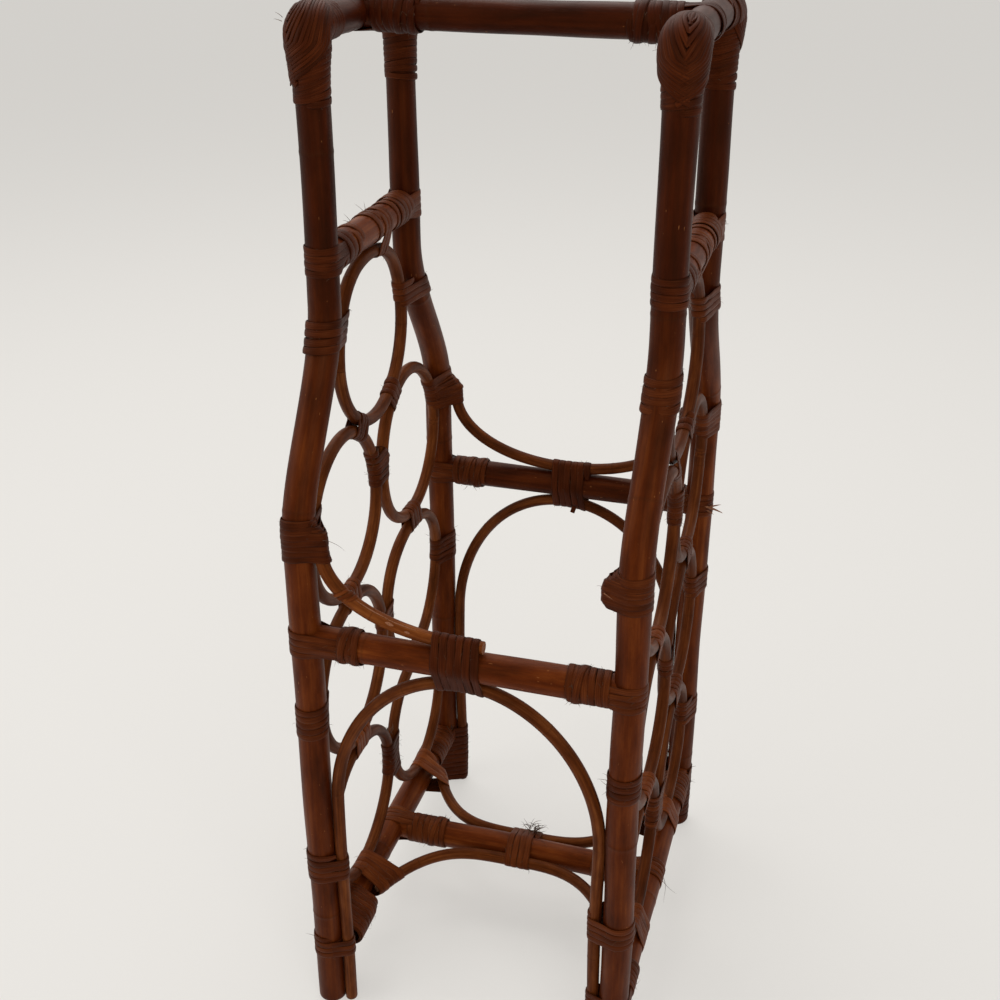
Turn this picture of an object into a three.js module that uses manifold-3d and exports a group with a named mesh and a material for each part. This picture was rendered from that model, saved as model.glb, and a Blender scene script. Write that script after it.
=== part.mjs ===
// Wicker wine rack: rattan poles, bent cane rings and arches, bound with flat cane peel.
// Millimetres, +Z up. X is the width, Y the depth (front is -Y), and the feet stand on Z = 0.
import * as THREE from 'three';
import { mergeVertices } from 'three/addons/utils/BufferGeometryUtils.js';
import Module from 'manifold-3d';

const wasm = await Module();
wasm.setup();

// Stock that the rack is made from
const POLE_R = 10.5;          // thick rattan pole
const CANE_R = 4.5;           // thin bent cane
const PEEL_T = 1.0;           // thickness of the cane peel in the bindings
const PEEL_W = 4.8;           // width of the peel
const PEEL_PITCH = 5.5;       // from one turn of the peel to the next
const SEAT_GAP = 0.3;         // clearance between pieces that touch

// Rings of the side lattices: one at the top, then three rows of two
const TOP_RING_R = 59.5;
const RING_R = 59;
const LOW_RING_R = 57.2;      // half the height of the bottom rings, which are a little flattened
const RING_GAP = 0.5;         // between one row and the next
const PAIR_GAP = 2.4;         // between the front and the back ring of a row

// Frame
const POST_X = 110;           // post centre, from the middle of the width
const BOTTOM_RAIL_Z = 54;
const MIDDLE_RAIL_DOWN = 54.5;  // the front and back rails lie this far below the second row's centres
const HANDLE_UP = 139;        // from the upper rails to the top rails and the handle
const SHOULDER_UP = 18.5;     // the posts start to lean in this far above the second row's centres
const SHOULDER_DOWN = 29;     // and are upright again this far below the upper rails

// Bent canes
const ARCH_RISE = 118;        // height of the round part of the arches
const HANG_RISE = 53.7;       // from the middle of a hanging cane to its straight ends
const HANG_END = 12;          // length of the straight ends
const HANG_POWER = 2.1;       // 2 would make their bend a quarter of an ellipse
const STUB_LENGTH = 16;       // what is left of the right half of the front hanging cane
const CUT_END_X = 20;         // its left half is cut off here, past the middle
const FLOOR_BOW = 62;         // how far the floor canes bow out from the cross rail
const FLOOR_BOW_POWER = 3.5;

// Bindings, in turns of peel
const CAP_POST_TURNS = 1.5;
const CAP_FAN_TURNS = 6;
const CAP_RAIL_TURNS = 1.5;
const CAP_PIVOT = 12;         // from the inner corner to the line that the fan of turns swings about
const CAP_FILL = 0.65;        // share of the fan's spacing that the peel covers
const HANDLE_END_TURNS = 5;
const LASHING_TURNS = 4;
const LASHING_PITCH = 5.9;
const LASHING_EASE = 0.5;     // a slanting turn stands off the pole by this much more
const SPIRAL_TURNS = 6;
const SPIRAL_W = 7;
const SPIRAL_INSET = 15;      // from each end of the rail
const SPIRAL_CROWDING = 0.5;  // turns lie closer at the ends of the rail than in the middle
const CENTRE_TURNS = 5;
const FLOOR_CENTRE_TURNS = 3;
const RAIL_END_TURNS = 3;
const RAIL_END_PITCH = 7;
const RAIL_END_W = 6.3;
const POST_TIE_TURNS = 4;
const LEG_TIE_TURNS = 3;
const HANGING_TIE_UP = 19;    // above the second row's centres: binds post, ring and hanging cane
const LEG_TIE_UP = 5.5;       // above the bottom row's centres: binds post, ring and arch leg

// Fineness of the solids
const POLE_SIDES = 12;
const CANE_SIDES = 6;
const RING_STEPS = 24;
const SHOULDER_STEPS = 12;
const ARCH_STEPS = 18;
const CANE_STEPS = 14;
const HANG_STEPS = 9;
const ROUND_STEPS = 8;        // steps in a turn round one pole
const BUNDLE_STEPS = 12;      // steps in a turn round several pieces
const POST_TIE_STEPS = 16;    // steps in a turn round a post and the canes beside it

// Places that follow from the sizes above
const TOUCH_POLE_CANE = POLE_R + SEAT_GAP + CANE_R;
const BASE_Y = PAIR_GAP / 2 + CANE_R + 2 * RING_R + TOUCH_POLE_CANE;
const RING_Y = BASE_Y - TOUCH_POLE_CANE - RING_R;
const TOP_Y = TOP_RING_R + CANE_R + RING_GAP + POLE_R;
const ROW_4_Z = BOTTOM_RAIL_Z + TOUCH_POLE_CANE + LOW_RING_R;
const ROW_3_Z = ROW_4_Z + LOW_RING_R + RING_R + 2 * CANE_R + RING_GAP;
const ROW_2_Z = ROW_3_Z + 2 * RING_R + 2 * CANE_R + RING_GAP;
const TOP_RING_Z = ROW_2_Z + Math.sqrt((TOP_RING_R + RING_R + 2 * CANE_R + RING_GAP) ** 2 - RING_Y ** 2);
const UPPER_RAIL_Z = TOP_RING_Z + TOP_RING_R + SEAT_GAP + PEEL_T + LASHING_EASE + TOUCH_POLE_CANE;
const TOP_RAIL_Z = UPPER_RAIL_Z + HANDLE_UP;
const POST_TOP_Z = TOP_RAIL_Z - POLE_R - SEAT_GAP;
const SHOULDER_LOW_Z = ROW_2_Z + SHOULDER_UP;
const SHOULDER_TOP_Z = UPPER_RAIL_Z - SHOULDER_DOWN;
const MIDDLE_RAIL_Z = ROW_2_Z - MIDDLE_RAIL_DOWN;
const ARCH_TOP_Z = MIDDLE_RAIL_Z - TOUCH_POLE_CANE;
const HANG_LOW_Z = MIDDLE_RAIL_Z + TOUCH_POLE_CANE;
const HANG_STRAIGHT_Z = HANG_LOW_Z + HANG_RISE;
const HANG_TOP_Z = HANG_STRAIGHT_Z + HANG_END;
const LEG_X = POST_X - TOUCH_POLE_CANE;
const RAIL_HALF_X = POST_X - POLE_R - SEAT_GAP;
const UPPER_RAIL_HALF_Y = TOP_Y - POLE_R - SEAT_GAP;
const BOTTOM_RAIL_HALF_Y = BASE_Y - POLE_R - SEAT_GAP;

const poleFinish = new THREE.MeshStandardMaterial({ color: 0x54240f, roughness: 0.42, metalness: 0 });
const caneFinish = new THREE.MeshStandardMaterial({ color: 0x5f3016, roughness: 0.5, metalness: 0 });
const peelFinish = new THREE.MeshStandardMaterial({ color: 0x74452a, roughness: 0.6, metalness: 0 });

const rack = new THREE.Group();

function addMesh(name, geometry, material) {
  const mesh = new THREE.Mesh(geometry, material);
  mesh.name = name;
  rack.add(mesh);
  return mesh;
}

function welded(geometry) {
  const bare = geometry.index ? geometry.toNonIndexed() : geometry.clone();
  bare.deleteAttribute('normal');
  bare.deleteAttribute('uv');
  return mergeVertices(bare, 1e-4);
}

function toSolid(geometry) {
  const bare = welded(geometry);
  return new wasm.Manifold(new wasm.Mesh({
    numProp: 3,
    vertProperties: new Float32Array(bare.attributes.position.array),
    triVerts: new Uint32Array(bare.index.array),
  }));
}

function toGeometry(solid) {
  const mesh = solid.getMesh();
  const geometry = new THREE.BufferGeometry();
  geometry.setAttribute('position', new THREE.BufferAttribute(new Float32Array(mesh.vertProperties), 3));
  geometry.setIndex(new THREE.BufferAttribute(new Uint32Array(mesh.triVerts), 1));
  geometry.computeVertexNormals();
  return geometry;
}

// Poles and canes

function polygon(radius, sides) {
  const shape = new THREE.Shape();
  for (let i = 0; i < sides; i += 1) {
    const angle = (2 * Math.PI * i) / sides;
    const x = radius * Math.cos(angle);
    const y = radius * Math.sin(angle);
    if (i === 0) shape.moveTo(x, y);
    else shape.lineTo(x, y);
  }
  shape.closePath();
  return shape;
}

// A rod's sections fall on the points of its path, so they can lie closer where it bends.
class PathThrough extends THREE.CatmullRomCurve3 {
  getPointAt(u, target) {
    return this.getPoint(u, target);
  }

  getTangentAt(u, target) {
    return this.getTangent(u, target);
  }
}

function bentRod(points, radius, sides) {
  return new THREE.ExtrudeGeometry(polygon(radius, sides), {
    steps: points.length - 1,
    extrudePath: new PathThrough(points, false, 'centripetal'),
    bevelEnabled: false,
  });
}

function straightPole(from, to) {
  const length = from.distanceTo(to);
  const pole = new THREE.CylinderGeometry(POLE_R, POLE_R, length, POLE_SIDES);
  const turn = new THREE.Quaternion().setFromUnitVectors(
    new THREE.Vector3(0, 1, 0),
    to.clone().sub(from).normalize(),
  );
  pole.applyQuaternion(turn);
  pole.translate((from.x + to.x) / 2, (from.y + to.y) / 2, (from.z + to.z) / 2);
  return pole;
}

function postY(z) {
  const t = THREE.MathUtils.smoothstep(z, SHOULDER_LOW_Z, SHOULDER_TOP_Z);
  return THREE.MathUtils.lerp(BASE_Y, TOP_Y, t);
}

const corners = [
  { name: 'front_left', sx: -1, sy: -1 },
  { name: 'front_right', sx: 1, sy: -1 },
  { name: 'back_left', sx: -1, sy: 1 },
  { name: 'back_right', sx: 1, sy: 1 },
];
const sides = [{ name: 'left', sx: -1 }, { name: 'right', sx: 1 }];
const faces = [{ name: 'front', sy: -1 }, { name: 'back', sy: 1 }];

function postGeometry(sx, sy) {
  const heights = [0, SHOULDER_LOW_Z - POLE_R];
  for (let i = 0; i <= SHOULDER_STEPS; i += 1) {
    heights.push(THREE.MathUtils.lerp(SHOULDER_LOW_Z, SHOULDER_TOP_Z, i / SHOULDER_STEPS));
  }
  heights.push(SHOULDER_TOP_Z + POLE_R, POST_TOP_Z);
  return bentRod(heights.map((z) => new THREE.Vector3(sx * POST_X, sy * postY(z), z)), POLE_R, POLE_SIDES);
}

for (const { name, sx, sy } of corners) addMesh(`${name}_post`, postGeometry(sx, sy), poleFinish);

// The top side rails lie on the posts, and their ends are rounded off flush with them.
function topSideRail(sx) {
  const end = TOP_Y + POLE_R;
  const pole = straightPole(
    new THREE.Vector3(sx * POST_X, -end, TOP_RAIL_Z),
    new THREE.Vector3(sx * POST_X, end, TOP_RAIL_Z),
  );
  const middle = new THREE.BoxGeometry(4 * POLE_R, 2 * TOP_Y, 4 * POLE_R);
  middle.translate(sx * POST_X, 0, TOP_RAIL_Z);
  let keep = toSolid(middle);
  for (const { sy } of faces) {
    const round = new THREE.CylinderGeometry(POLE_R, POLE_R, 4 * POLE_R, POLE_SIDES);
    round.rotateX(Math.PI / 2);
    round.translate(sx * POST_X, sy * TOP_Y, TOP_RAIL_Z);
    keep = keep.add(toSolid(round));
  }
  return toGeometry(toSolid(pole).intersect(keep));
}

for (const { name, sx } of sides) {
  addMesh(`${name}_top_rail`, topSideRail(sx), poleFinish);
  addMesh(`${name}_upper_rail`, straightPole(
    new THREE.Vector3(sx * POST_X, -UPPER_RAIL_HALF_Y, UPPER_RAIL_Z),
    new THREE.Vector3(sx * POST_X, UPPER_RAIL_HALF_Y, UPPER_RAIL_Z),
  ), poleFinish);
  addMesh(`${name}_bottom_rail`, straightPole(
    new THREE.Vector3(sx * POST_X, -BOTTOM_RAIL_HALF_Y, BOTTOM_RAIL_Z),
    new THREE.Vector3(sx * POST_X, BOTTOM_RAIL_HALF_Y, BOTTOM_RAIL_Z),
  ), poleFinish);
}

function crossPole(y, z) {
  return straightPole(new THREE.Vector3(-RAIL_HALF_X, y, z), new THREE.Vector3(RAIL_HALF_X, y, z));
}

addMesh('handle_rail', crossPole(0, TOP_RAIL_Z), poleFinish);
addMesh('bottom_cross_rail', crossPole(0, BOTTOM_RAIL_Z), poleFinish);
for (const { name, sy } of faces) addMesh(`${name}_rail`, crossPole(sy * BASE_Y, MIDDLE_RAIL_Z), poleFinish);

// A ring of bent cane stands in the plane of a side lattice.
function caneRing(sx, y, z, widthR, heightR) {
  const ring = new THREE.TorusGeometry(widthR, CANE_R, CANE_SIDES, RING_STEPS);
  ring.rotateX(Math.PI / 2);
  ring.rotateZ(Math.PI / 2);
  ring.scale(1, 1, heightR / widthR);
  ring.translate(sx * POST_X, y, z);
  return welded(ring);
}

const rows = [
  { row: 'second', z: ROW_2_Z, heightR: RING_R },
  { row: 'third', z: ROW_3_Z, heightR: RING_R },
  { row: 'bottom', z: ROW_4_Z, heightR: LOW_RING_R },
];
for (const { name, sx } of sides) {
  addMesh(`${name}_ring_top`, caneRing(sx, 0, TOP_RING_Z, TOP_RING_R, TOP_RING_R), caneFinish);
  for (const { row, z, heightR } of rows) {
    for (const { name: face, sy } of faces) {
      addMesh(`${name}_ring_${row}_${face}`, caneRing(sx, sy * RING_Y, z, RING_R, heightR), caneFinish);
    }
  }
}

// An arch stands on the floor beside the posts and reaches up under the middle rail.
function archGeometry(sy) {
  const spring = ARCH_TOP_Z - ARCH_RISE;
  const points = [new THREE.Vector3(-LEG_X, sy * BASE_Y, 0)];
  for (let i = 0; i <= ARCH_STEPS; i += 1) {
    const angle = Math.PI * (1 - i / ARCH_STEPS);
    points.push(new THREE.Vector3(
      LEG_X * Math.cos(angle),
      sy * BASE_Y,
      spring + ARCH_RISE * Math.sin(angle),
    ));
  }
  points.push(new THREE.Vector3(LEG_X, sy * BASE_Y, 0));
  return bentRod(points, CANE_R, CANE_SIDES);
}

for (const { name, sy } of faces) addMesh(`${name}_arch`, archGeometry(sy), caneFinish);

// A hanging cane drops along a post, then sweeps down to the middle of the rail.
// Its bend is a superellipse, which is flatter in the middle and tighter at the ends than a circle.
function hangHalf(side, y) {
  const points = [new THREE.Vector3(side * LEG_X, y, HANG_TOP_Z)];
  for (let i = 0; i <= HANG_STEPS; i += 1) {
    const angle = (Math.PI / 2) * (i / HANG_STEPS);
    const x = LEG_X * Math.cos(angle) ** (2 / HANG_POWER);
    const z = HANG_STRAIGHT_Z - HANG_RISE * Math.sin(angle) ** (2 / HANG_POWER);
    points.push(new THREE.Vector3(side * x, y, z));
  }
  return points;
}

// How far the hanging cane has come from its straight end at a height, and has risen at a distance
// from the middle
function hangInward(z) {
  const share = Math.max(HANG_STRAIGHT_Z - z, 0) / HANG_RISE;
  return LEG_X * (1 - (1 - share ** HANG_POWER) ** (1 / HANG_POWER));
}

function hangUp(x) {
  return HANG_RISE * (1 - (1 - (x / LEG_X) ** HANG_POWER) ** (1 / HANG_POWER));
}

const backPoints = hangHalf(-1, BASE_Y).concat(hangHalf(1, BASE_Y).reverse().slice(1));
addMesh('back_hanging_cane', bentRod(backPoints, CANE_R, CANE_SIDES), caneFinish);
const frontPoints = [...hangHalf(-1, -BASE_Y), new THREE.Vector3(CUT_END_X, -BASE_Y, HANG_LOW_Z)];
addMesh('front_hanging_cane', bentRod(frontPoints, CANE_R, CANE_SIDES), caneFinish);
addMesh('front_cane_stub', bentRod([
  new THREE.Vector3(LEG_X, -BASE_Y, HANG_TOP_Z),
  new THREE.Vector3(LEG_X, -BASE_Y, HANG_TOP_Z - STUB_LENGTH),
], CANE_R, CANE_SIDES), caneFinish);

// Two canes lie at the height of the bottom rails and touch the cross rail in the middle.
function floorCane(sy) {
  const points = [];
  for (let i = 0; i <= CANE_STEPS; i += 1) {
    const share = Math.sin((Math.PI / 2) * ((2 * i) / CANE_STEPS - 1));
    const bow = FLOOR_BOW * Math.abs(share) ** FLOOR_BOW_POWER;
    points.push(new THREE.Vector3(share * LEG_X, sy * (TOUCH_POLE_CANE + bow), BOTTOM_RAIL_Z));
  }
  return bentRod(points, CANE_R, CANE_SIDES);
}

for (const { name, sy } of faces) addMesh(`${name}_floor_cane`, floorCane(sy), caneFinish);

// Bindings: each one is a single strip of peel, wound without a break.
// A station is a point on the strip's inner face, the way out from the pole, and the width there.

function stripSections(stations) {
  return stations.map(({ point, out, width }, i) => {
    const before = stations[Math.max(i - 1, 0)].point;
    const after = stations[Math.min(i + 1, stations.length - 1)].point;
    const along = after.clone().sub(before).normalize();
    const across = along.cross(out).normalize().multiplyScalar(width / 2);
    const lift = out.clone().multiplyScalar(PEEL_T);
    return [
      point.clone().sub(across),
      point.clone().add(across),
      point.clone().add(across).add(lift),
      point.clone().sub(across).add(lift),
    ];
  });
}

function stripGeometry(sections) {
  const vertices = sections.flat().flatMap((p) => [p.x, p.y, p.z]);
  const faceList = [];
  const last = 4 * (sections.length - 1);
  for (let i = 0; i < sections.length - 1; i += 1) {
    for (let j = 0; j < 4; j += 1) {
      const a = 4 * i + j;
      const b = 4 * i + ((j + 1) % 4);
      faceList.push(a, b, b + 4, a, b + 4, a + 4);
    }
  }
  faceList.push(0, 2, 1, 0, 3, 2, last, last + 1, last + 2, last, last + 2, last + 3);
  const geometry = new THREE.BufferGeometry();
  geometry.setAttribute('position', new THREE.Float32BufferAttribute(vertices, 3));
  geometry.setIndex(faceList);
  if (signedVolume(geometry) < 0) geometry.setIndex(faceList.reverse());
  geometry.computeVertexNormals();
  return geometry;
}

function signedVolume(geometry) {
  const { position } = geometry.attributes;
  const { array } = geometry.index;
  const [a, b, c] = [new THREE.Vector3(), new THREE.Vector3(), new THREE.Vector3()];
  let volume = 0;
  for (let i = 0; i < array.length; i += 3) {
    a.fromBufferAttribute(position, array[i]);
    b.fromBufferAttribute(position, array[i + 1]);
    c.fromBufferAttribute(position, array[i + 2]);
    volume += a.dot(b.cross(c)) / 6;
  }
  return volume;
}

// The least gap of a strip to itself, measured on points along the edges of its turns.
function leastGap(sections, steps) {
  const perStep = 4;
  const edges = [];
  for (let i = 0; i < perStep * (sections.length - 1); i += 1) {
    const section = Math.floor(i / perStep);
    const share = (i % perStep) / perStep;
    edges.push(sections[section].map((p, j) => p.clone().lerp(sections[section + 1][j], share)));
  }
  let least = Infinity;
  for (let i = 0; i < edges.length; i += 1) {
    for (let j = i + (perStep * steps) / 2; j < edges.length; j += 1) {
      for (const p of edges[i]) {
        for (const q of edges[j]) least = Math.min(least, p.distanceTo(q));
      }
    }
  }
  return least;
}

function addBinding(name, stations, steps) {
  const sections = stripSections(stations);
  addMesh(name, stripGeometry(sections), peelFinish);
  console.log(`${name}: least gap to itself ${leastGap(sections, steps).toFixed(2)} mm`);
}

// Where a strip round a bundle of round pieces lies, at one angle. The bundle's outline is convex.
function bundlePoint(circles, angle, steps) {
  const reach = ({ u, v, r }) => u * Math.cos(angle) + v * Math.sin(angle) + r;
  const circle = circles.reduce((best, next) => (reach(next) > reach(best) ? next : best));
  const radius = (circle.r + SEAT_GAP) / Math.cos(Math.PI / steps);
  return [circle.u + radius * Math.cos(angle), circle.v + radius * Math.sin(angle)];
}

// Winds a strip round a bundle. height(turn) is the place of the strip along the axis, and turn
// grows evenly along the strip. Where the strip slants, it is drawn in, so that its turns stay apart.
function windRound({ origin, u, v, circles, turns, steps, startAngle = 0, width = PEEL_W, height }) {
  const axis = u.clone().cross(v);
  const angleAt = (step) => startAngle + (2 * Math.PI * (step + 0.5)) / steps;
  const outline = Array.from({ length: steps }, (_, i) => bundlePoint(circles, angleAt(i), steps));
  const travelled = [0];
  outline.forEach(([pu, pv], i) => {
    const [nextU, nextV] = outline[(i + 1) % steps];
    travelled.push(travelled[i] + Math.hypot(nextU - pu, nextV - pv));
  });
  const stations = [];
  for (let i = 0; i <= turns * steps; i += 1) {
    const step = i % steps;
    const [pu, pv] = outline[step];
    const turn = Math.floor(i / steps) + travelled[step] / travelled[steps];
    const out = u.clone().multiplyScalar(Math.cos(angleAt(i))).addScaledVector(v, Math.sin(angleAt(i)));
    const point = origin.clone().addScaledVector(u, pu).addScaledVector(v, pv);
    point.addScaledVector(axis, height(turn));
    stations.push({ point, out });
  }
  return stations.map(({ point, out }, i) => {
    const before = stations[Math.max(i - 1, 0)].point;
    const after = stations[Math.min(i + 1, stations.length - 1)].point;
    const slant = after.clone().sub(before).normalize().dot(axis);
    return { point, out, width: width * Math.sqrt(1 - slant ** 2) };
  });
}

const pole = { u: 0, v: 0, r: POLE_R };
const X = new THREE.Vector3(1, 0, 0);
const Y = new THREE.Vector3(0, 1, 0);
const Z = new THREE.Vector3(0, 0, 1);

const evenly = (turns, pitch) => (turn) => pitch * (turn - turns / 2);

// A corner cap winds up the post, fans over the corner, and ends on the rail.
function capStations(sx, sy) {
  const reach = POLE_R + LASHING_EASE;
  const roomy = 1 / Math.cos(Math.PI / ROUND_STEPS);
  const fanStart = CAP_POST_TURNS;
  const fanEnd = CAP_POST_TURNS + CAP_FAN_TURNS;
  const turns = fanEnd + CAP_RAIL_TURNS;
  const perTurn = Math.PI / 2 / CAP_FAN_TURNS;
  const stations = [];
  for (let i = 0; i <= turns * ROUND_STEPS; i += 1) {
    const turn = i / ROUND_STEPS;
    const swing = THREE.MathUtils.clamp(turn - fanStart, 0, CAP_FAN_TURNS) * perTurn;
    const onPost = Math.min(turn - fanStart, 0) * PEEL_PITCH;
    const onRail = Math.max(turn - fanEnd, 0) * PEEL_PITCH;
    const angle = 2 * Math.PI * (turn - fanStart + 0.5) + Math.PI / ROUND_STEPS;
    const scale = 1 / Math.max(Math.cos(swing), Math.sin(swing));
    const distance = scale * (CAP_PIVOT + reach - reach * roomy * Math.cos(angle));
    const point = new THREE.Vector3(
      sx * POST_X + reach * roomy * Math.sin(angle),
      sy * (TOP_Y - reach - CAP_PIVOT - onRail + distance * Math.cos(swing)),
      TOP_RAIL_Z - reach - CAP_PIVOT + onPost + distance * Math.sin(swing),
    );
    const fromPost = new THREE.Vector3(point.x - sx * POST_X, point.y - sy * TOP_Y, 0).normalize();
    const fromRail = new THREE.Vector3(point.x - sx * POST_X, 0, point.z - TOP_RAIL_Z).normalize();
    const overCorner = THREE.MathUtils.smoothstep(THREE.MathUtils.radToDeg(swing), 35, 55);
    const out = fromPost.lerp(fromRail, overCorner).normalize();
    const inFan = turn > fanStart - 0.5 && turn < fanEnd + 0.5;
    const width = inFan ? CAP_FILL * perTurn * distance : PEEL_W;
    stations.push({ point, out, width });
  }
  return stations;
}

for (const { name, sx, sy } of corners) addBinding(`${name}_corner_cap`, capStations(sx, sy), ROUND_STEPS);

// Ends of the handle rail
for (const { name, sx } of sides) {
  const length = HANDLE_END_TURNS * PEEL_PITCH;
  addBinding(`handle_binding_${name}`, windRound({
    origin: new THREE.Vector3(sx * (RAIL_HALF_X - 2 - length / 2 - PEEL_W / 2), 0, TOP_RAIL_Z),
    u: Y,
    v: Z,
    circles: [pole],
    turns: HANDLE_END_TURNS,
    steps: ROUND_STEPS,
    height: evenly(HANDLE_END_TURNS, PEEL_PITCH),
  }), ROUND_STEPS);
}

// A lashing holds a rail against a post: half of its turns pass under the rail and half over it.
function lashing(origin, inward, circles, turns, steps) {
  const clear = POLE_R + SEAT_GAP + PEEL_W / 2;
  return windRound({
    origin,
    u: inward,
    v: Z.clone().cross(inward),
    circles: circles.map(({ u, v, r }) => ({ u, v, r: r + LASHING_EASE })),
    turns,
    steps,
    startAngle: Math.PI,
    height: (turn) => {
      const side = turn < turns / 2 ? -1 : 1;
      const tilt = (1 - Math.cos(2 * Math.PI * turn)) / 2;
      return LASHING_PITCH * (turn - turns / 2) + side * clear * tilt;
    },
  });
}

for (const { name, sx, sy } of corners) {
  const origin = new THREE.Vector3(sx * POST_X, sy * TOP_Y, UPPER_RAIL_Z);
  const inward = Y.clone().multiplyScalar(-sy);
  addBinding(`${name}_upper_lashing`, lashing(origin, inward, [pole], LASHING_TURNS, ROUND_STEPS), ROUND_STEPS);
}

// A wide strip spirals along each upper rail.
for (const { name, sx } of sides) {
  addBinding(`${name}_upper_spiral`, windRound({
    origin: new THREE.Vector3(sx * POST_X, 0, UPPER_RAIL_Z),
    u: Z,
    v: X,
    circles: [{ ...pole, r: POLE_R + LASHING_EASE }],
    turns: SPIRAL_TURNS,
    steps: ROUND_STEPS,
    width: SPIRAL_W,
    height: (turn) => {
      const share = turn / SPIRAL_TURNS;
      const crowd = (SPIRAL_CROWDING * Math.sin(2 * Math.PI * share)) / (2 * Math.PI);
      return 2 * (UPPER_RAIL_HALF_Y - SPIRAL_INSET) * (share - 0.5 - crowd);
    },
  }), ROUND_STEPS);
}

// Middle of the front and back rails: the peel holds the rail, the arch and the hanging cane together.
const centreReach = (CENTRE_TURNS * PEEL_PITCH + PEEL_W) / 2;
const archDown = ARCH_RISE * (1 - Math.sqrt(1 - (centreReach / LEG_X) ** 2));
for (const { name, sy } of faces) {
  addBinding(`${name}_centre_binding`, windRound({
    origin: new THREE.Vector3(0, sy * BASE_Y, MIDDLE_RAIL_Z),
    u: Y,
    v: Z,
    circles: [
      pole,
      { u: 0, v: TOUCH_POLE_CANE + hangUp(centreReach), r: CANE_R },
      { u: 0, v: -TOUCH_POLE_CANE - archDown, r: CANE_R },
    ],
    turns: CENTRE_TURNS,
    steps: BUNDLE_STEPS,
    height: evenly(CENTRE_TURNS, PEEL_PITCH),
  }), BUNDLE_STEPS);
}
addBinding('floor_centre_binding', windRound({
  origin: new THREE.Vector3(0, 0, BOTTOM_RAIL_Z),
  u: Y,
  v: Z,
  circles: [pole, { u: TOUCH_POLE_CANE, v: 0, r: CANE_R }, { u: -TOUCH_POLE_CANE, v: 0, r: CANE_R }],
  turns: FLOOR_CENTRE_TURNS,
  steps: BUNDLE_STEPS,
  height: evenly(FLOOR_CENTRE_TURNS, PEEL_PITCH),
}), BUNDLE_STEPS);

// Ends of the front and back rails
for (const { name, sx, sy } of corners) {
  const length = RAIL_END_TURNS * RAIL_END_PITCH;
  addBinding(`${name}_rail_binding`, windRound({
    origin: new THREE.Vector3(sx * (RAIL_HALF_X - 2 - length / 2 - RAIL_END_W / 2), sy * BASE_Y, MIDDLE_RAIL_Z),
    u: Y,
    v: Z,
    circles: [pole],
    turns: RAIL_END_TURNS,
    steps: ROUND_STEPS,
    width: RAIL_END_W,
    height: evenly(RAIL_END_TURNS, RAIL_END_PITCH),
  }), ROUND_STEPS);
}

// Ties that hold a ring, and the cane beside it, to a front post
const frontPosts = corners.filter(({ sy }) => sy < 0);

function postTie(sx, ringZ, up, turns, ringHeightR, caneInward) {
  const z = ringZ + up;
  const reach = (turns * PEEL_PITCH + PEEL_W) / 2;
  const fromRing = (up + reach) / ringHeightR;
  const ringAway = RING_R * (1 - Math.sqrt(1 - fromRing ** 2));
  const postLean = BASE_Y - postY(z + reach);
  return windRound({
    origin: new THREE.Vector3(sx * POST_X, -BASE_Y, z),
    u: X,
    v: Y,
    circles: [
      pole,
      { ...pole, v: postLean },
      { u: 0, v: TOUCH_POLE_CANE + ringAway, r: CANE_R },
      { u: -sx * (TOUCH_POLE_CANE + caneInward(z - reach)), v: 0, r: CANE_R + LASHING_EASE },
    ],
    turns,
    steps: POST_TIE_STEPS,
    height: evenly(turns, PEEL_PITCH),
  });
}

for (const { name, sx } of frontPosts) {
  const hanging = postTie(sx, ROW_2_Z, HANGING_TIE_UP, POST_TIE_TURNS, RING_R, hangInward);
  addBinding(`${name}_hanging_tie`, hanging, POST_TIE_STEPS);
  const atLeg = postTie(sx, ROW_4_Z, LEG_TIE_UP, LEG_TIE_TURNS, LOW_RING_R, () => 0);
  addBinding(`${name}_leg_tie`, atLeg, POST_TIE_STEPS);
  const legBeside = { u: 0, v: sx * TOUCH_POLE_CANE, r: CANE_R };
  addBinding(`${name}_foot_lashing`, lashing(
    new THREE.Vector3(sx * POST_X, -BASE_Y, BOTTOM_RAIL_Z),
    Y,
    [pole, legBeside],
    LASHING_TURNS,
    BUNDLE_STEPS,
  ), BUNDLE_STEPS);
}

export default rack;
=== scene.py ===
"""Wicker wine rack: rattan poles, rings and arches of bent cane, bound with flat cane peel.

Metres, +Z up. X is the width, Y the depth (the front is -Y), and the feet stand on Z = 0.
"""
import bisect
import math
import random

import bmesh
import bpy
from mathutils import Euler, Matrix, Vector


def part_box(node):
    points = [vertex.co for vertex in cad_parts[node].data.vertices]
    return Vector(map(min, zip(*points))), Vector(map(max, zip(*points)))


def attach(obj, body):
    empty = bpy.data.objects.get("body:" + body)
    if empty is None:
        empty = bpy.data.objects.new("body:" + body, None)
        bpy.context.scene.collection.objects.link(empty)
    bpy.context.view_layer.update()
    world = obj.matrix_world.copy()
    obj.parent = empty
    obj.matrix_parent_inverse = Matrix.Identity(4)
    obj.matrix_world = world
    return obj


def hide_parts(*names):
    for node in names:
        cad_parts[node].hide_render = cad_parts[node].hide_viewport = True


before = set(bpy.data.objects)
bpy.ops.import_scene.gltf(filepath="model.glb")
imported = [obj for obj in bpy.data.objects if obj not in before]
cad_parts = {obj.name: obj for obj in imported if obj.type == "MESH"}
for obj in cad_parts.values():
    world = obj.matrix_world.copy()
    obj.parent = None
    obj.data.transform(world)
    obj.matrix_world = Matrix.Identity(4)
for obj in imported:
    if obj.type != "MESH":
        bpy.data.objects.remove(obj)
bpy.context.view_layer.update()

MM = 0.001

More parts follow.
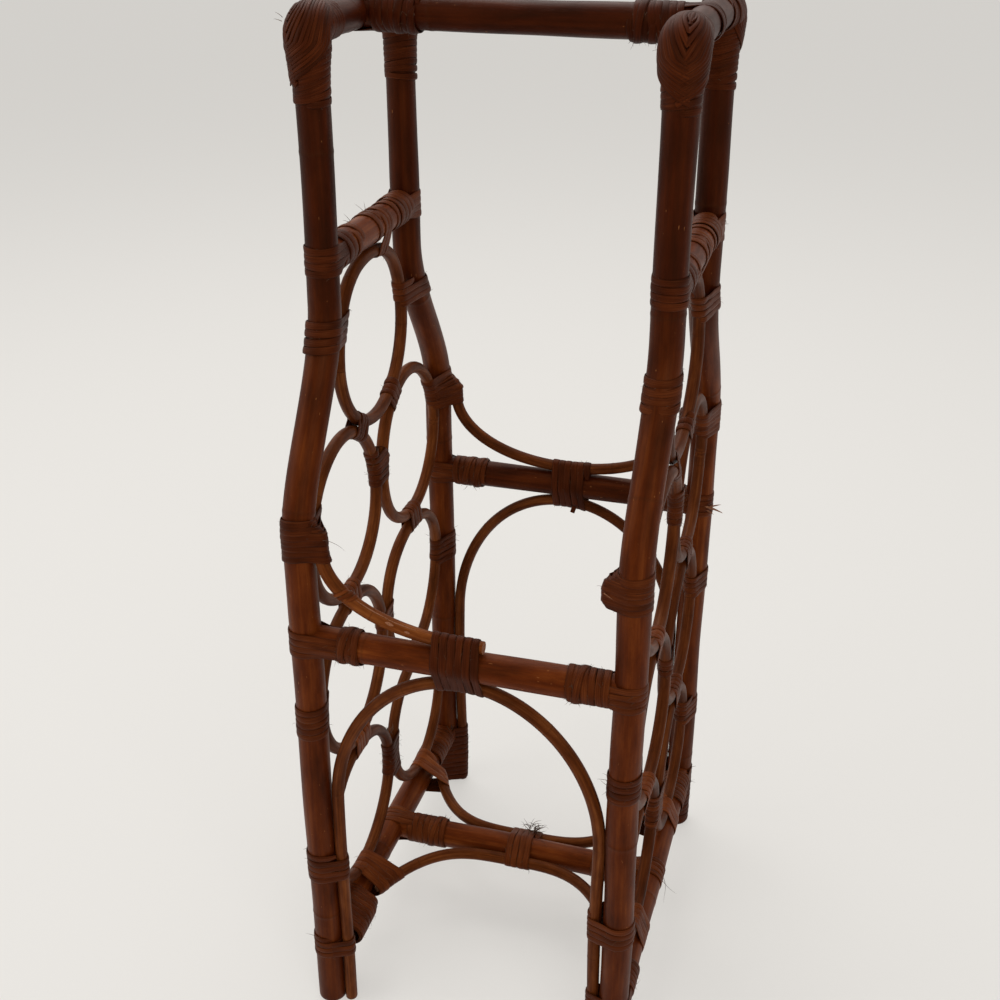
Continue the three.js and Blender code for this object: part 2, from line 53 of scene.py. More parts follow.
# Stock that the rack is made from
POLE_R = 10.5 * MM
CANE_R = 4.5 * MM
PEEL_T = 0.9 * MM
PEEL_W = 4.9 * MM
SEAT_GAP = 0.3 * MM
TOUCH_POLE_CANE = POLE_R + SEAT_GAP + CANE_R

CORNERS = {
    "front_left": (-1, -1),
    "front_right": (1, -1),
    "back_left": (-1, 1),
    "back_right": (1, 1),
}
SIDES = {"left": -1, "right": 1}
FACES = {"front": -1, "back": 1}

X = Vector((1, 0, 0))
Y = Vector((0, 1, 0))
Z = Vector((0, 0, 1))


def middle(node):
    low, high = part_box(node)
    return (low + high) / 2


def half_size(node):
    low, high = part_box(node)
    return (high - low) / 2


# Places that follow from the frame
POST_X = middle("right_top_rail").x
TOP_RAIL_Z = middle("handle_rail").z
UPPER_RAIL_Z = middle("left_upper_rail").z
MIDDLE_RAIL_Z = middle("front_rail").z
BOTTOM_RAIL_Z = middle("bottom_cross_rail").z
BASE_Y = middle("back_rail").y
TOP_Y = half_size("left_top_rail").y - POLE_R
POST_TOP_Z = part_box("front_left_post")[1].z
RAIL_HALF_X = half_size("handle_rail").x
UPPER_RAIL_HALF_Y = half_size("left_upper_rail").y
BOTTOM_RAIL_HALF_Y = half_size("left_bottom_rail").y
ROW_Z = {row: middle(f"left_ring_{row}_back").z for row in ("second", "third", "bottom")}
SHOULDER_LOW_Z = ROW_Z["second"] + 18.5 * MM
SHOULDER_TOP_Z = UPPER_RAIL_Z - 29 * MM
LEG_X = POST_X - TOUCH_POLE_CANE
ARCH_TOP_Z = MIDDLE_RAIL_Z - TOUCH_POLE_CANE
ARCH_RISE = 118 * MM
HANG_LOW_Z = MIDDLE_RAIL_Z + TOUCH_POLE_CANE
HANG_TOP_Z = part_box("back_hanging_cane")[1].z
HANG_STRAIGHT_Z = HANG_TOP_Z - 12 * MM
HANG_POWER = 2.1              # the hanging canes bend in a superellipse of this power
STUB_LOW_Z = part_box("front_cane_stub")[0].z
CUT_END_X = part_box("front_hanging_cane")[1].x
FLOOR_BOW = 62 * MM           # the floor canes bow out so far at their ends, by this power
FLOOR_BOW_POWER = 3.5


def in_scene(name, data):
    thing = bpy.data.objects.new(name, data)
    bpy.context.scene.collection.objects.link(thing)
    return thing


# Camera at the photograph's viewing angle

CAMERA_PLACE = (0.22667, -0.81652, 0.80473)
CAMERA_TURN = (63.225, 0.0, 16.557)
CAMERA_LENS = 47.5
SENSOR_WIDTH = 36.0
NEAREST_SEEN = 0.01

camera = in_scene("camera", bpy.data.cameras.new("camera"))
camera.data.lens = CAMERA_LENS
camera.data.sensor_width = SENSOR_WIDTH
camera.data.clip_start = NEAREST_SEEN
camera.location = CAMERA_PLACE
camera.rotation_euler = Euler([math.radians(angle) for angle in CAMERA_TURN])
bpy.context.scene.camera = camera


# Materials

# Places of the colour sockets on a Mix node: its inputs, and its output
MIX_SHARE, MIX_UNDER, MIX_OVER = 0, 6, 7
MIXED = 2

SOAKED_IN = 0.85              # how strongly the blotches darken the stain
BUMP_HEIGHT = 0.4 * MM


def linear(hex_colour):
    """A colour written as sRGB hex, as the linear values that the shader takes."""
    values = [int(hex_colour[i:i + 2], 16) / 255 for i in (1, 3, 5)]
    return [v / 12.92 if v <= 0.04045 else ((v + 0.055) / 1.055) ** 2.4 for v in values] + [1.0]


def add(material, kind, links=None, stops=(), **settings):
    """Adds one node. links give its inputs: a value, or the output socket of another node. stops are
    the (place, hex colour) of a colour ramp."""
    node = material.node_tree.nodes.new(kind)
    for name, value in settings.items():
        setattr(node, name, value)
    for name, value in (links or {}).items():
        if isinstance(value, bpy.types.NodeSocket):
            material.node_tree.links.new(value, node.inputs[name])
        else:
            node.inputs[name].default_value = value
    for _ in stops[2:]:
        node.color_ramp.elements.new(0.5)
    for i, (place, colour) in enumerate(stops):
        node.color_ramp.elements[i].position = place
        node.color_ramp.elements[i].color = linear(colour)
    return node


def new_material(name):
    material = bpy.data.materials.new(name)
    material.use_nodes = True
    material.node_tree.nodes.clear()
    return material


def grain(material, across, along, detail=3.0, roughness=0.55):
    """Noise in the stock's own frame, with features so many metres across and along the fibres."""
    place = add(material, "ShaderNodeAttribute", attribute_name="stock")
    stretched = add(material, "ShaderNodeMapping", {
        "Vector": place.outputs["Vector"],
        "Scale": (1 / across, 1 / across, 1 / along),
    })
    return add(material, "ShaderNodeTexNoise", {
        "Vector": stretched.outputs["Vector"],
        "Scale": 1.0,
        "Detail": detail,
        "Roughness": roughness,
    }).outputs["Fac"]


def stained(material, streaks, dark, pale, blotches, soaked):
    """Brushed stain: streaked along the fibres, between dark and pale by the piece's tone, and darker
    in the blotches where it soaked in."""
    tone = add(material, "ShaderNodeAttribute", attribute_name="tone")
    darkest = add(material, "ShaderNodeValToRGB", {"Fac": streaks}, dark)
    palest = add(material, "ShaderNodeValToRGB", {"Fac": streaks}, pale)
    stain = add(material, "ShaderNodeMix", {
        MIX_SHARE: tone.outputs["Fac"],
        MIX_UNDER: darkest.outputs["Color"],
        MIX_OVER: palest.outputs["Color"],
    }, data_type="RGBA")
    shade = add(material, "ShaderNodeValToRGB", {"Fac": blotches}, soaked)
    return add(material, "ShaderNodeMix", {
        MIX_SHARE: SOAKED_IN,
        MIX_UNDER: stain.outputs[MIXED],
        MIX_OVER: shade.outputs["Color"],
    }, data_type="RGBA", blend_type="MULTIPLY").outputs[MIXED]


def laid_over(material, colour, mask, low, high, most, tint):
    """Lays a tint over the colour as the mask rises from low to high, up to a share of most."""
    share = add(material, "ShaderNodeMapRange", {
        "Value": mask,
        "From Min": low,
        "From Max": high,
        "To Max": most,
    })
    return add(material, "ShaderNodeMix", {
        MIX_SHARE: share.outputs["Result"],
        MIX_UNDER: colour,
        MIX_OVER: linear(tint),
    }, data_type="RGBA").outputs[MIXED]


def varnished(material, colour, gloss, dull, shiny, height, bump_strength):
    """Closes a material: fibre under a thin brushed varnish. Its roughness goes from dull to shiny as
    gloss rises. The fibre drinks most of the varnish, so it mirrors less than a closed film would."""
    roughness = add(material, "ShaderNodeMapRange", {
        "Value": gloss,
        "From Min": 0.3,
        "From Max": 0.7,
        "To Min": dull,
        "To Max": shiny,
    })
    bump = add(material, "ShaderNodeBump", {
        "Strength": bump_strength,
        "Distance": BUMP_HEIGHT,
        "Height": height,
    })
    shader = add(material, "ShaderNodeBsdfPrincipled", {
        "Base Color": colour,
        "Roughness": roughness.outputs["Result"],
        "IOR": 1.5,
        "Specular IOR Level": 0.13,
        "Specular Tint": linear("#ffb884"),
        "Normal": bump.outputs["Normal"],
    })
    add(material, "ShaderNodeOutputMaterial", {"Surface": shader.outputs["BSDF"]})


def rattan_pole_material():
    """Scraped rattan pole, stained red-brown and varnished by brush: soft streaks along the fibres,
    darker blotches where the stain soaked in, open pores, a few pale scars, and a satin gloss."""
    material = new_material("rattan_pole")
    streaks = grain(material, 3.2 * MM, 120 * MM, detail=5.0, roughness=0.6)
    blotches = grain(material, 12 * MM, 45 * MM, detail=5.0, roughness=0.6)
    pores = grain(material, 0.35 * MM, 5 * MM, detail=1.0)
    scars = grain(material, 1.3 * MM, 4 * MM, detail=1.0)
    knuckle = add(material, "ShaderNodeAttribute", attribute_name="trait").outputs["Fac"]
    colour = stained(
        material,
        streaks,
        [(0.28, "#2d0b02"), (0.48, "#350f03"), (0.62, "#3c1303"), (0.78, "#481b06")],
        [(0.28, "#5f280b"), (0.48, "#6d310f"), (0.62, "#7a3c15"), (0.78, "#8e4f22")],
        blotches,
        [(0.30, "#8d7460"), (0.46, "#cdb9a8"), (0.62, "#ffffff")],
    )
    pore = add(material, "ShaderNodeMapRange", {"Value": pores, "From Min": 0.60, "From Max": 0.76})
    in_pore = pore.outputs["Result"]
    colour = laid_over(material, colour, in_pore, 0, 1, 0.35, "#2c1003")
    colour = laid_over(material, colour, scars, 0.77, 0.79, 0.5, "#a0663a")
    colour = laid_over(material, colour, knuckle, 0.35, 1.0, 0.3, "#2f1305")
    sunk = add(material, "ShaderNodeMapRange", {"Value": in_pore, "To Max": -0.5})
    height = add(material, "ShaderNodeMath", {0: streaks, 1: sunk.outputs["Result"]}, operation="ADD")
    varnished(material, colour, blotches, 0.50, 0.38, height.outputs["Value"], 0.3)
    return material


def bent_cane_material():
    """Thin cane bent green and stained with the poles: finer streaks, a little paler and drier."""
    material = new_material("bent_cane")
    streaks = grain(material, 1.6 * MM, 70 * MM, detail=5.0, roughness=0.6)
    blotches = grain(material, 8 * MM, 30 * MM, detail=5.0, roughness=0.6)
    pores = grain(material, 0.3 * MM, 4 * MM, detail=1.0)
    knuckle = add(material, "ShaderNodeAttribute", attribute_name="trait").outputs["Fac"]
    colour = stained(
        material,
        streaks,
        [(0.28, "#341405"), (0.48, "#401907"), (0.62, "#4b210b"), (0.78, "#5b3015")],
        [(0.28, "#622f10"), (0.48, "#784019"), (0.62, "#8a4f25"), (0.78, "#a0683a")],
        blotches,
        [(0.30, "#8a7361"), (0.48, "#cfbdad"), (0.64, "#ffffff")],
    )
    colour = laid_over(material, colour, pores, 0.60, 0.76, 0.35, "#2c1305")
    colour = laid_over(material, colour, knuckle, 0.4, 1.0, 0.4, "#311506")
    varnished(material, colour, blotches, 0.56, 0.42, streaks, 0.3)
    return material


def cane_peel_material():
    """Split cane peel, flat and shiny on its skin side: fine fibres along the strip, each turn a little
    lighter or darker than the next, and darker along its edges and underside, which is stain gathered there
    and painted shade for the gaps between the turns."""
    material = new_material("cane_peel")
    fibres = grain(material, 0.45 * MM, 22 * MM)
    turns = grain(material, 30 * MM, 38 * MM, detail=2.0)
    edge = add(material, "ShaderNodeAttribute", attribute_name="trait").outputs["Fac"]
    colour = stained(
        material,
        fibres,
        [(0.28, "#2a0a02"), (0.48, "#370f03"), (0.62, "#411504"), (0.80, "#54220b")],
        [(0.28, "#59250c"), (0.48, "#6e3514"), (0.62, "#80451f"), (0.80, "#9a6031")],
        turns,
        [(0.34, "#9b8371"), (0.50, "#d3c4b6"), (0.66, "#ffffff")],
    )
    # Painted shade with real stain: the edges and the underside are darkened, for the shade in the gaps
    # between the turns and the stain gathered there.
    colour = laid_over(material, colour, edge, 0.80, 1.0, 0.5, "#220e04")
    varnished(material, colour, fibres, 0.58, 0.44, fibres, 0.45)
    return material


def cut_cane_material():
    """Bare cane, as on a cut end, a splinter or a scar: pale, dry and pitted by the open vessels of
    the core."""
    material = new_material("cut_cane")
    place = add(material, "ShaderNodeTexCoord").outputs["Object"]
    vessels = add(material, "ShaderNodeTexVoronoi", {"Vector": place, "Scale": 1 / (0.7 * MM)})
    depth = vessels.outputs["Distance"]
    shades = [(0.10, "#3f1e0c"), (0.28, "#6c3b20"), (0.6, "#8c5836")]
    colour = add(material, "ShaderNodeValToRGB", {"Fac": depth}, shades)
    bump = add(material, "ShaderNodeBump", {"Strength": 0.6, "Distance": 0.3 * MM, "Height": depth})
    shader = add(material, "ShaderNodeBsdfPrincipled", {
        "Base Color": colour.outputs["Color"],
        "Roughness": 0.85,
        "Normal": bump.outputs["Normal"],
    })
    add(material, "ShaderNodeOutputMaterial", {"Surface": shader.outputs["BSDF"]})
    return material


def loose_fibre_material():
    """Fibres that have split off the peel: thin, dry and dull brown, with no varnish."""
    material = new_material("loose_fibre")
    shade = grain(material, 2 * MM, 4 * MM, detail=1.0)
    colour = add(material, "ShaderNodeValToRGB", {"Fac": shade}, [(0.35, "#2e1a0d"), (0.65, "#5e3e25")])
    shader = add(material, "ShaderNodeBsdfPrincipled", {
        "Base Color": colour.outputs["Color"],
        "Roughness": 0.8,
    })
    add(material, "ShaderNodeOutputMaterial", {"Surface": shader.outputs["BSDF"]})
    return material


POLE = rattan_pole_material()
CANE = bent_cane_material()
PEEL = cane_peel_material()
CUT_END = cut_cane_material()
FIBRE = loose_fibre_material()


# Stock: everything starts as a flat sheet that is rolled up and bent to its place

WELD = 0.001 * MM


def new_stock():
    bm = bmesh.new()
    bm.verts.layers.float_vector.new("stock")
    bm.verts.layers.float.new("trait")
    bm.verts.layers.float.new("tone")
    return bm


def roll_up(bm, rows, columns, seat, closed=False, skin=0, end=0):
    """Rolls a sheet into a tube. seat(row, column) gives each corner's place, its place in the straight
    stock, and its trait. skin and end are the material places of the wall and of the two ends."""
    stock = bm.verts.layers.float_vector["stock"]
    trait = bm.verts.layers.float["trait"]
    corners = bmesh.ops.create_grid(bm, x_segments=rows, y_segments=columns, size=1)["verts"]
    for corner in corners:
        row = round((corner.co.x + 1) * rows / 2)
        column = round((corner.co.y + 1) * columns / 2) % columns
        corner.co, corner[stock], corner[trait] = seat(row % rows if closed else row, column)
    bmesh.ops.remove_doubles(bm, verts=corners, dist=WELD)
    walls = {face for corner in corners if corner.is_valid for face in corner.link_faces}
    for face in walls:
        face.smooth = True
        face.material_index = skin
    rims = [edge for edge in {e for face in walls for e in face.edges} if edge.is_boundary]
    for edge in rims:
        edge.smooth = False
    caps = bmesh.ops.holes_fill(bm, edges=rims, sides=0)["faces"] if rims else []
    for face in caps:
        face.smooth = False
        face.material_index = end
    bmesh.ops.recalc_face_normals(bm, faces=list(walls) + caps)


def as_mesh(name, bm):
    mesh = bpy.data.meshes.new(name)
    bm.to_mesh(mesh)
    bm.free()
    return mesh


def make_piece(name, bm, materials, stands_for=(), tone=0.5):
    """tone is how pale the piece's stain came out, from 0 to 1, or a function of the place. On the posts
    and the top rails it also paints shade.
    """
    tone_layer = bm.verts.layers.float["tone"]
    for corner in bm.verts:
        corner[tone_layer] = tone(corner.co) if callable(tone) else tone
    mesh = as_mesh(name, bm)
    for material in materials:
        mesh.materials.append(material)
    piece = in_scene(name, mesh)
    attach(piece, "root")
    if stands_for:
        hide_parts(*stands_for)


def wander(rng, length):
    """A smooth, seeded wander between about -1 and 1 that changes over so many metres."""
    waves = [(rng.uniform(0.6, 1.7) * math.tau / length, rng.uniform(0, math.tau)) for _ in range(3)]
    return lambda s: sum(math.sin(rate * s + phase) for rate, phase in waves) / 2.2


def any_way(rng):
    return Vector([rng.uniform(-1, 1) for _ in range(3)])


def smoothstep(value, low, high):
    share = min(max((value - low) / (high - low), 0.0), 1.0)
    return share * share * (3 - 2 * share)


def spaced(low, high, count):
    return [low + (high - low) * i / count for i in range(count + 1)]


HEADING_STEP = 1.5 * MM


class Line:
    """The middle line of a rod or a strip, measured along its length."""

    def __init__(self, points, closed=False):
        self.closed = closed
        self.points = points + points[:1] if closed else points
        self.marks = [0.0]
        for here, there in zip(self.points, self.points[1:]):
            self.marks.append(self.marks[-1] + (there - here).length)
        self.length = self.marks[-1]

    def at(self, s):
        if self.closed:
            s %= self.length
        i = min(max(bisect.bisect_right(self.marks, s) - 1, 0), len(self.points) - 2)
        share = (s - self.marks[i]) / (self.marks[i + 1] - self.marks[i])
        return self.points[i].lerp(self.points[i + 1], share)

    def heading(self, s):
        return (self.at(s + HEADING_STEP) - self.at(s - HEADING_STEP)).normalized()

    def crossing(self, origin, axis):
        """Where the line passes through a plane, nearest to origin: the point, the heading there, and
        how far beyond the line's end the plane lies."""
        found = []
        offsets = [(p - origin).dot(axis) for p in self.points]
        for i, (a, b) in enumerate(zip(offsets, offsets[1:])):
            if (a <= 0) != (b <= 0):
                point = self.points[i].lerp(self.points[i + 1], a / (a - b))
                found.append((point, (self.points[i + 1] - self.points[i]).normalized(), 0.0))
        if found:
            return min(found, key=lambda f: (f[0] - origin).length)
        i = min(range(len(offsets)), key=lambda k: abs(offsets[k]) + (self.points[k] - origin).length)
        return self.points[i] - axis * offsets[i], axis, abs(offsets[i])


# Rods: poles and canes

KINDS = {
    # slot: (radius, material, columns round it, usual gap between knuckles)
    "pole": (POLE_R, POLE, 24, 150 * MM),
    "cane": (CANE_R, CANE, 16, 120 * MM),
}
POST_COLUMNS = 28
STATION_GAP = 4 * MM
LEAST_GAP = 0.3 * MM
KNUCKLE_OFFSETS = [k * MM for k in (-4, -2.6, -1.5, -0.8, 0, 0.8, 1.5, 2.6, 4)]
KNUCKLE_WIDTH = 1.6 * MM      # of a pole's knuckle, and its height. A cane's are thinner in proportion.
KNUCKLE_HEIGHT = 0.25 * MM
KNUCKLE_FREE = 12 * MM        # no knuckle comes nearer to a rod's far end
SWELLING = 0.016              # how much thicker or thinner a rod gets, as a share of its radius
OVAL = 0.014                  # and how far it is from round
END_MARKS = [k * MM for k in (0, 0.5, 1.2)]
END_ROUND = 0.6 * MM
SWAY = 0.5 * MM               # how far a rod bends off its line, each way
SWAY_FREE = 40 * MM           # a rod's ends stay in place, and it sways freely this far from them
SEATED = 5 * MM               # rails are coped over what they meet: they run this far into it
HIDDEN_END = 5 * MM           # the hanging canes' ends stop under their ties, this much shorter
TOP_RAIL_PAST = 2 * MM        # the top side rails end this far past the posts' middles

rods = {}


def knuckles_of(rng, length, gap):
    """Where the knuckles of the rattan come along a rod."""
    places = []
    s = rng.uniform(0.25, 0.9) * gap
    while s < length - KNUCKLE_FREE:
        places.append(s)
        s += gap * rng.uniform(0.75, 1.3)
    return places


def make_rod(name, node, points, slot, flat, closed=False, columns=None, tone=None):
    """Bends a length of stock along points. flat is a direction square to the bend."""
    radius, material, usual_columns, knuckle_gap = KINDS[slot]
    columns = columns or usual_columns
    rng = random.Random(name)
    if not closed:
        drift = [wander(rng, 260 * MM) for _ in range(3)]
        straight = Line(points)
        length = straight.length
        points = [
            p + Vector([d(s) for d in drift]) * (SWAY * min(1.0, s / SWAY_FREE, (length - s) / SWAY_FREE))
            for p, s in zip(points, straight.marks)
        ]
    line = Line(points, closed)
    rods[node] = (line, radius)
    thick = radius / POLE_R
    swelling = wander(rng, 160 * MM)
    oval = wander(rng, 220 * MM)
    knuckles = knuckles_of(rng, line.length, knuckle_gap)
    count = math.ceil(line.length / STATION_GAP)
    marks = {round(line.length * i / count, 6) for i in range(count + 1)}
    marks |= {round(k + offset * thick, 6) for k in knuckles for offset in KNUCKLE_OFFSETS}
    if not closed:
        marks |= {round(m, 6) for m in END_MARKS} | {round(line.length - m, 6) for m in END_MARKS}
    marks = sorted(m for m in marks if 0 <= m <= line.length)
    ends = (0, len(marks) - 1)
    marks = [m for i, m in enumerate(marks) if i in ends or m - marks[i - 1] > LEAST_GAP]
    start = rng.uniform(0, 40)

    def ridge(s):
        return max((math.exp(-((s - k) / (KNUCKLE_WIDTH * thick)) ** 2) for k in knuckles), default=0.0)

    def seat(row, column):
        s = marks[row]
        angle = math.tau * column / columns
        ahead = line.heading(s)
        side = (flat - ahead * flat.dot(ahead)).normalized()
        lift = side.cross(ahead)
        r = radius * (1 + SWELLING * swelling(s) + OVAL * math.cos(2 * angle + 2 * oval(s)))
        r += KNUCKLE_HEIGHT * thick * ridge(s)
        if not closed:
            from_end = min(s, line.length - s)
            r -= END_ROUND * max(0.0, 1 - from_end / END_MARKS[-1]) ** 2
        straight = Vector((radius * math.cos(angle), radius * math.sin(angle), start + s))
        place = line.at(s) + side * (r * math.cos(angle)) + lift * (r * math.sin(angle))
        return place, straight, ridge(s)

    bm = new_stock()
    roll_up(bm, len(marks) - 1, columns, seat, closed, end=1)
    tone = rng.uniform(0.1, 0.5) if tone is None else tone
    make_piece(name, bm, [material, CUT_END], [node], tone)


def post_y(z):
    return BASE_Y + (TOP_Y - BASE_Y) * smoothstep(z, SHOULDER_LOW_Z, SHOULDER_TOP_Z)


def post_tone_with_painted_shade(place):
    """Painted shade on the posts: their stain is drawn darkest at the top and a little darker low down,
    where the posts stand in shade, and palest at the middle.
    """
    high = smoothstep(place.z, SHOULDER_LOW_Z, UPPER_RAIL_Z + 30 * MM)
    low = 1 - smoothstep(place.z, BOTTOM_RAIL_Z, MIDDLE_RAIL_Z)
    return 0.55 - 0.55 * high - 0.2 * low


def make_poles():
    for corner, (sx, sy) in CORNERS.items():
        points = [Vector((sx * POST_X, sy * post_y(z), z)) for z in spaced(0, POST_TOP_Z, 240)]
        # Each post's tone changes along its height as painted shade.
        make_rod(
            f"{corner}_pole", f"{corner}_post", points, "pole", X, columns=POST_COLUMNS, tone=post_tone_with_painted_shade,
        )
    for side, sx in SIDES.items():
        for kind, half, z, tone in (
            # The top side poles' low tone is painted shade, like the tops of the posts.
            ("top", TOP_Y + TOP_RAIL_PAST, TOP_RAIL_Z, 0.05),
            ("upper", UPPER_RAIL_HALF_Y + SEATED, UPPER_RAIL_Z, 0.75),
            ("bottom", BOTTOM_RAIL_HALF_Y + SEATED, BOTTOM_RAIL_Z, 0.65),
        ):
            points = [Vector((sx * POST_X, y, z)) for y in spaced(-half, half, 60)]
            make_rod(f"{side}_{kind}_side_pole", f"{side}_{kind}_rail", points, "pole", X, tone=tone)
    half = RAIL_HALF_X + SEATED
    for node, y, z, tone in (
        # The handle's tone of 0.0 is painted shade, like the tops of the posts.
        ("handle_rail", 0, TOP_RAIL_Z, 0.0),
        ("bottom_cross_rail", 0, BOTTOM_RAIL_Z, 0.75),
        ("front_rail", -BASE_Y, MIDDLE_RAIL_Z, 0.7),
        ("back_rail", BASE_Y, MIDDLE_RAIL_Z, 0.15),
    ):
        points = [Vector((x, y, z)) for x in spaced(-half, half, 80)]
        make_rod(node.replace("rail", "pole"), node, points, "pole", Y, tone=tone)


RING_STEPS = 160
RING_WARP = 0.8 * MM          # a ring is bent out of its plane at most so far
RING_SWAY = 0.4 * MM
OUT_OF_ROUND = 0.7 * MM
TOP_RING_SQUARE = 3 * MM      # the top rings' upper halves are a little squarer than a circle
RING_LEAN = {"right_ring_second_front": 2.2 * MM, "right_ring_third_front": 2.0 * MM}


def make_rings():
    """Each ring is one cane. Its two ends meet where the ring is tied to its post."""
    for side, sx in SIDES.items():
        nodes = [f"{side}_ring_top"]
        nodes += [f"{side}_ring_{row}_{face}" for row in ROW_Z for face in FACES]
        for node in nodes:
            rng = random.Random(node)
            centre, half = middle(node), half_size(node)
            wide, tall = half.y - CANE_R, half.z - CANE_R
            sway = wander(rng, 2.0)
            warp = rng.uniform(-1, 1) * RING_WARP
            phase = rng.uniform(0, math.tau)
            outward = 1 if centre.y > 0 else -1
            lean = RING_LEAN.get(node, 0.0)
            points = []
            for i in range(RING_STEPS):
                angle = math.tau * i / RING_STEPS
                bulge = OUT_OF_ROUND * math.sin(3 * angle + phase) * math.sin(angle) ** 2
                if node.endswith("ring_top"):
                    bulge = TOP_RING_SQUARE * max(math.sin(angle), 0.0) * math.sin(2 * angle) ** 2
                points.append(Vector((
                    sx * POST_X + lean + warp * math.sin(2 * angle + phase) + RING_SWAY * sway(angle / 3),
                    centre.y + outward * (wide + bulge) * math.cos(angle),
                    centre.z + (tall + bulge) * math.sin(angle),
                )))
            make_rod(f"{node}_cane", node, points, "cane", X, closed=True)


def arch_points(sy):
    spring = ARCH_TOP_Z - ARCH_RISE
    leg = [Vector((-LEG_X, sy * BASE_Y, z)) for z in spaced(0, spring, 60)]
    bend = []
    for i in range(1, 120):
        angle = math.pi * (1 - i / 120)
        bend.append(Vector((LEG_X * math.cos(angle), sy * BASE_Y, spring + ARCH_RISE * math.sin(angle))))
    other = [Vector((-p.x, p.y, p.z)) for p in reversed(leg)]
    return leg + bend + other


def hang_points(side, y):
    """From the straight end at a post down to the middle."""
    heights = spaced(HANG_TOP_Z - HIDDEN_END, HANG_STRAIGHT_Z, 6)
    points = [Vector((side * LEG_X, y, z)) for z in heights]
    rise = HANG_STRAIGHT_Z - HANG_LOW_Z
    for i in range(1, 61):
        angle = math.pi / 2 * i / 60
        x = LEG_X * max(math.cos(angle), 0.0) ** (2 / HANG_POWER)
        points.append(Vector((side * x, y, HANG_STRAIGHT_Z - rise * math.sin(angle) ** (2 / HANG_POWER))))
    return points


def floor_points(sy):
    points = []
    for share in (math.sin(math.pi / 2 * s) for s in spaced(-1, 1, 120)):
        bow = FLOOR_BOW * abs(share) ** FLOOR_BOW_POWER
        points.append(Vector((share * LEG_X, sy * (TOUCH_POLE_CANE + bow), BOTTOM_RAIL_Z)))
    return points


def make_canes():
    for face, sy in FACES.items():
        make_rod(f"{face}_arch_cane", f"{face}_arch", arch_points(sy), "cane", Y)
        make_rod(f"{face}_low_cane", f"{face}_floor_cane", floor_points(sy), "cane", Z)
    back = hang_points(-1, BASE_Y) + hang_points(1, BASE_Y)[-2::-1]
    make_rod("back_smile_cane", "back_hanging_cane", back, "cane", Y)
    front = hang_points(-1, -BASE_Y)
    front += [Vector((x, -BASE_Y, HANG_LOW_Z)) for x in spaced(4 * MM, CUT_END_X - HIDDEN_END, 4)]
    make_rod("front_smile_cane", "front_hanging_cane", front, "cane", Y, tone=0.9)
    heights = spaced(HANG_TOP_Z - HIDDEN_END, STUB_LOW_Z, 12)
    stub = [Vector((LEG_X, -BASE_Y, z)) for z in heights]
    make_rod("front_broken_cane", "front_cane_stub", stub, "cane", Y)


# Peel: flat strips wound round the joints

# The strip's section: (across, out), with the skin side crowned and the edges thin
PEEL_SECTION = [
    (-0.88, 0.0), (-1.0, 0.35), (-0.9, 0.72), (-0.5, 0.94), (0.0, 1.0),
    (0.5, 0.94), (0.9, 0.72), (1.0, 0.35), (0.88, 0.0),
]
SNUG = 0.1 * MM               # how far off a rod a strip lies
UNEVEN = 0.12 * MM            # how far a strip lifts and leans where it was laid by hand
WIDENING = 0.09               # how much wider or narrower it gets, as a share of its width
TUCK = 5 * MM                 # length over which the end of a strip dives under its neighbour
TUCK_DEPTH = 1.3 * MM
TUCK_NARROWS = 0.35

FIBRE_R = 0.13 * MM
FIBRE_TIP_R = 0.02 * MM
FIBRE_STEP = 1.6 * MM
FRAY_LONGEST = 6 * MM
WHISKER_R = 0.2 * MM
SPLINTER_CURL = 0.04
TUFT_SPREAD = 3.0             # in mm, like the tufts' places
TUFT_FIBRE_R = 0.3 * MM
TUFT_CURL = 0.9
TAIL_W = 4.0 * MM

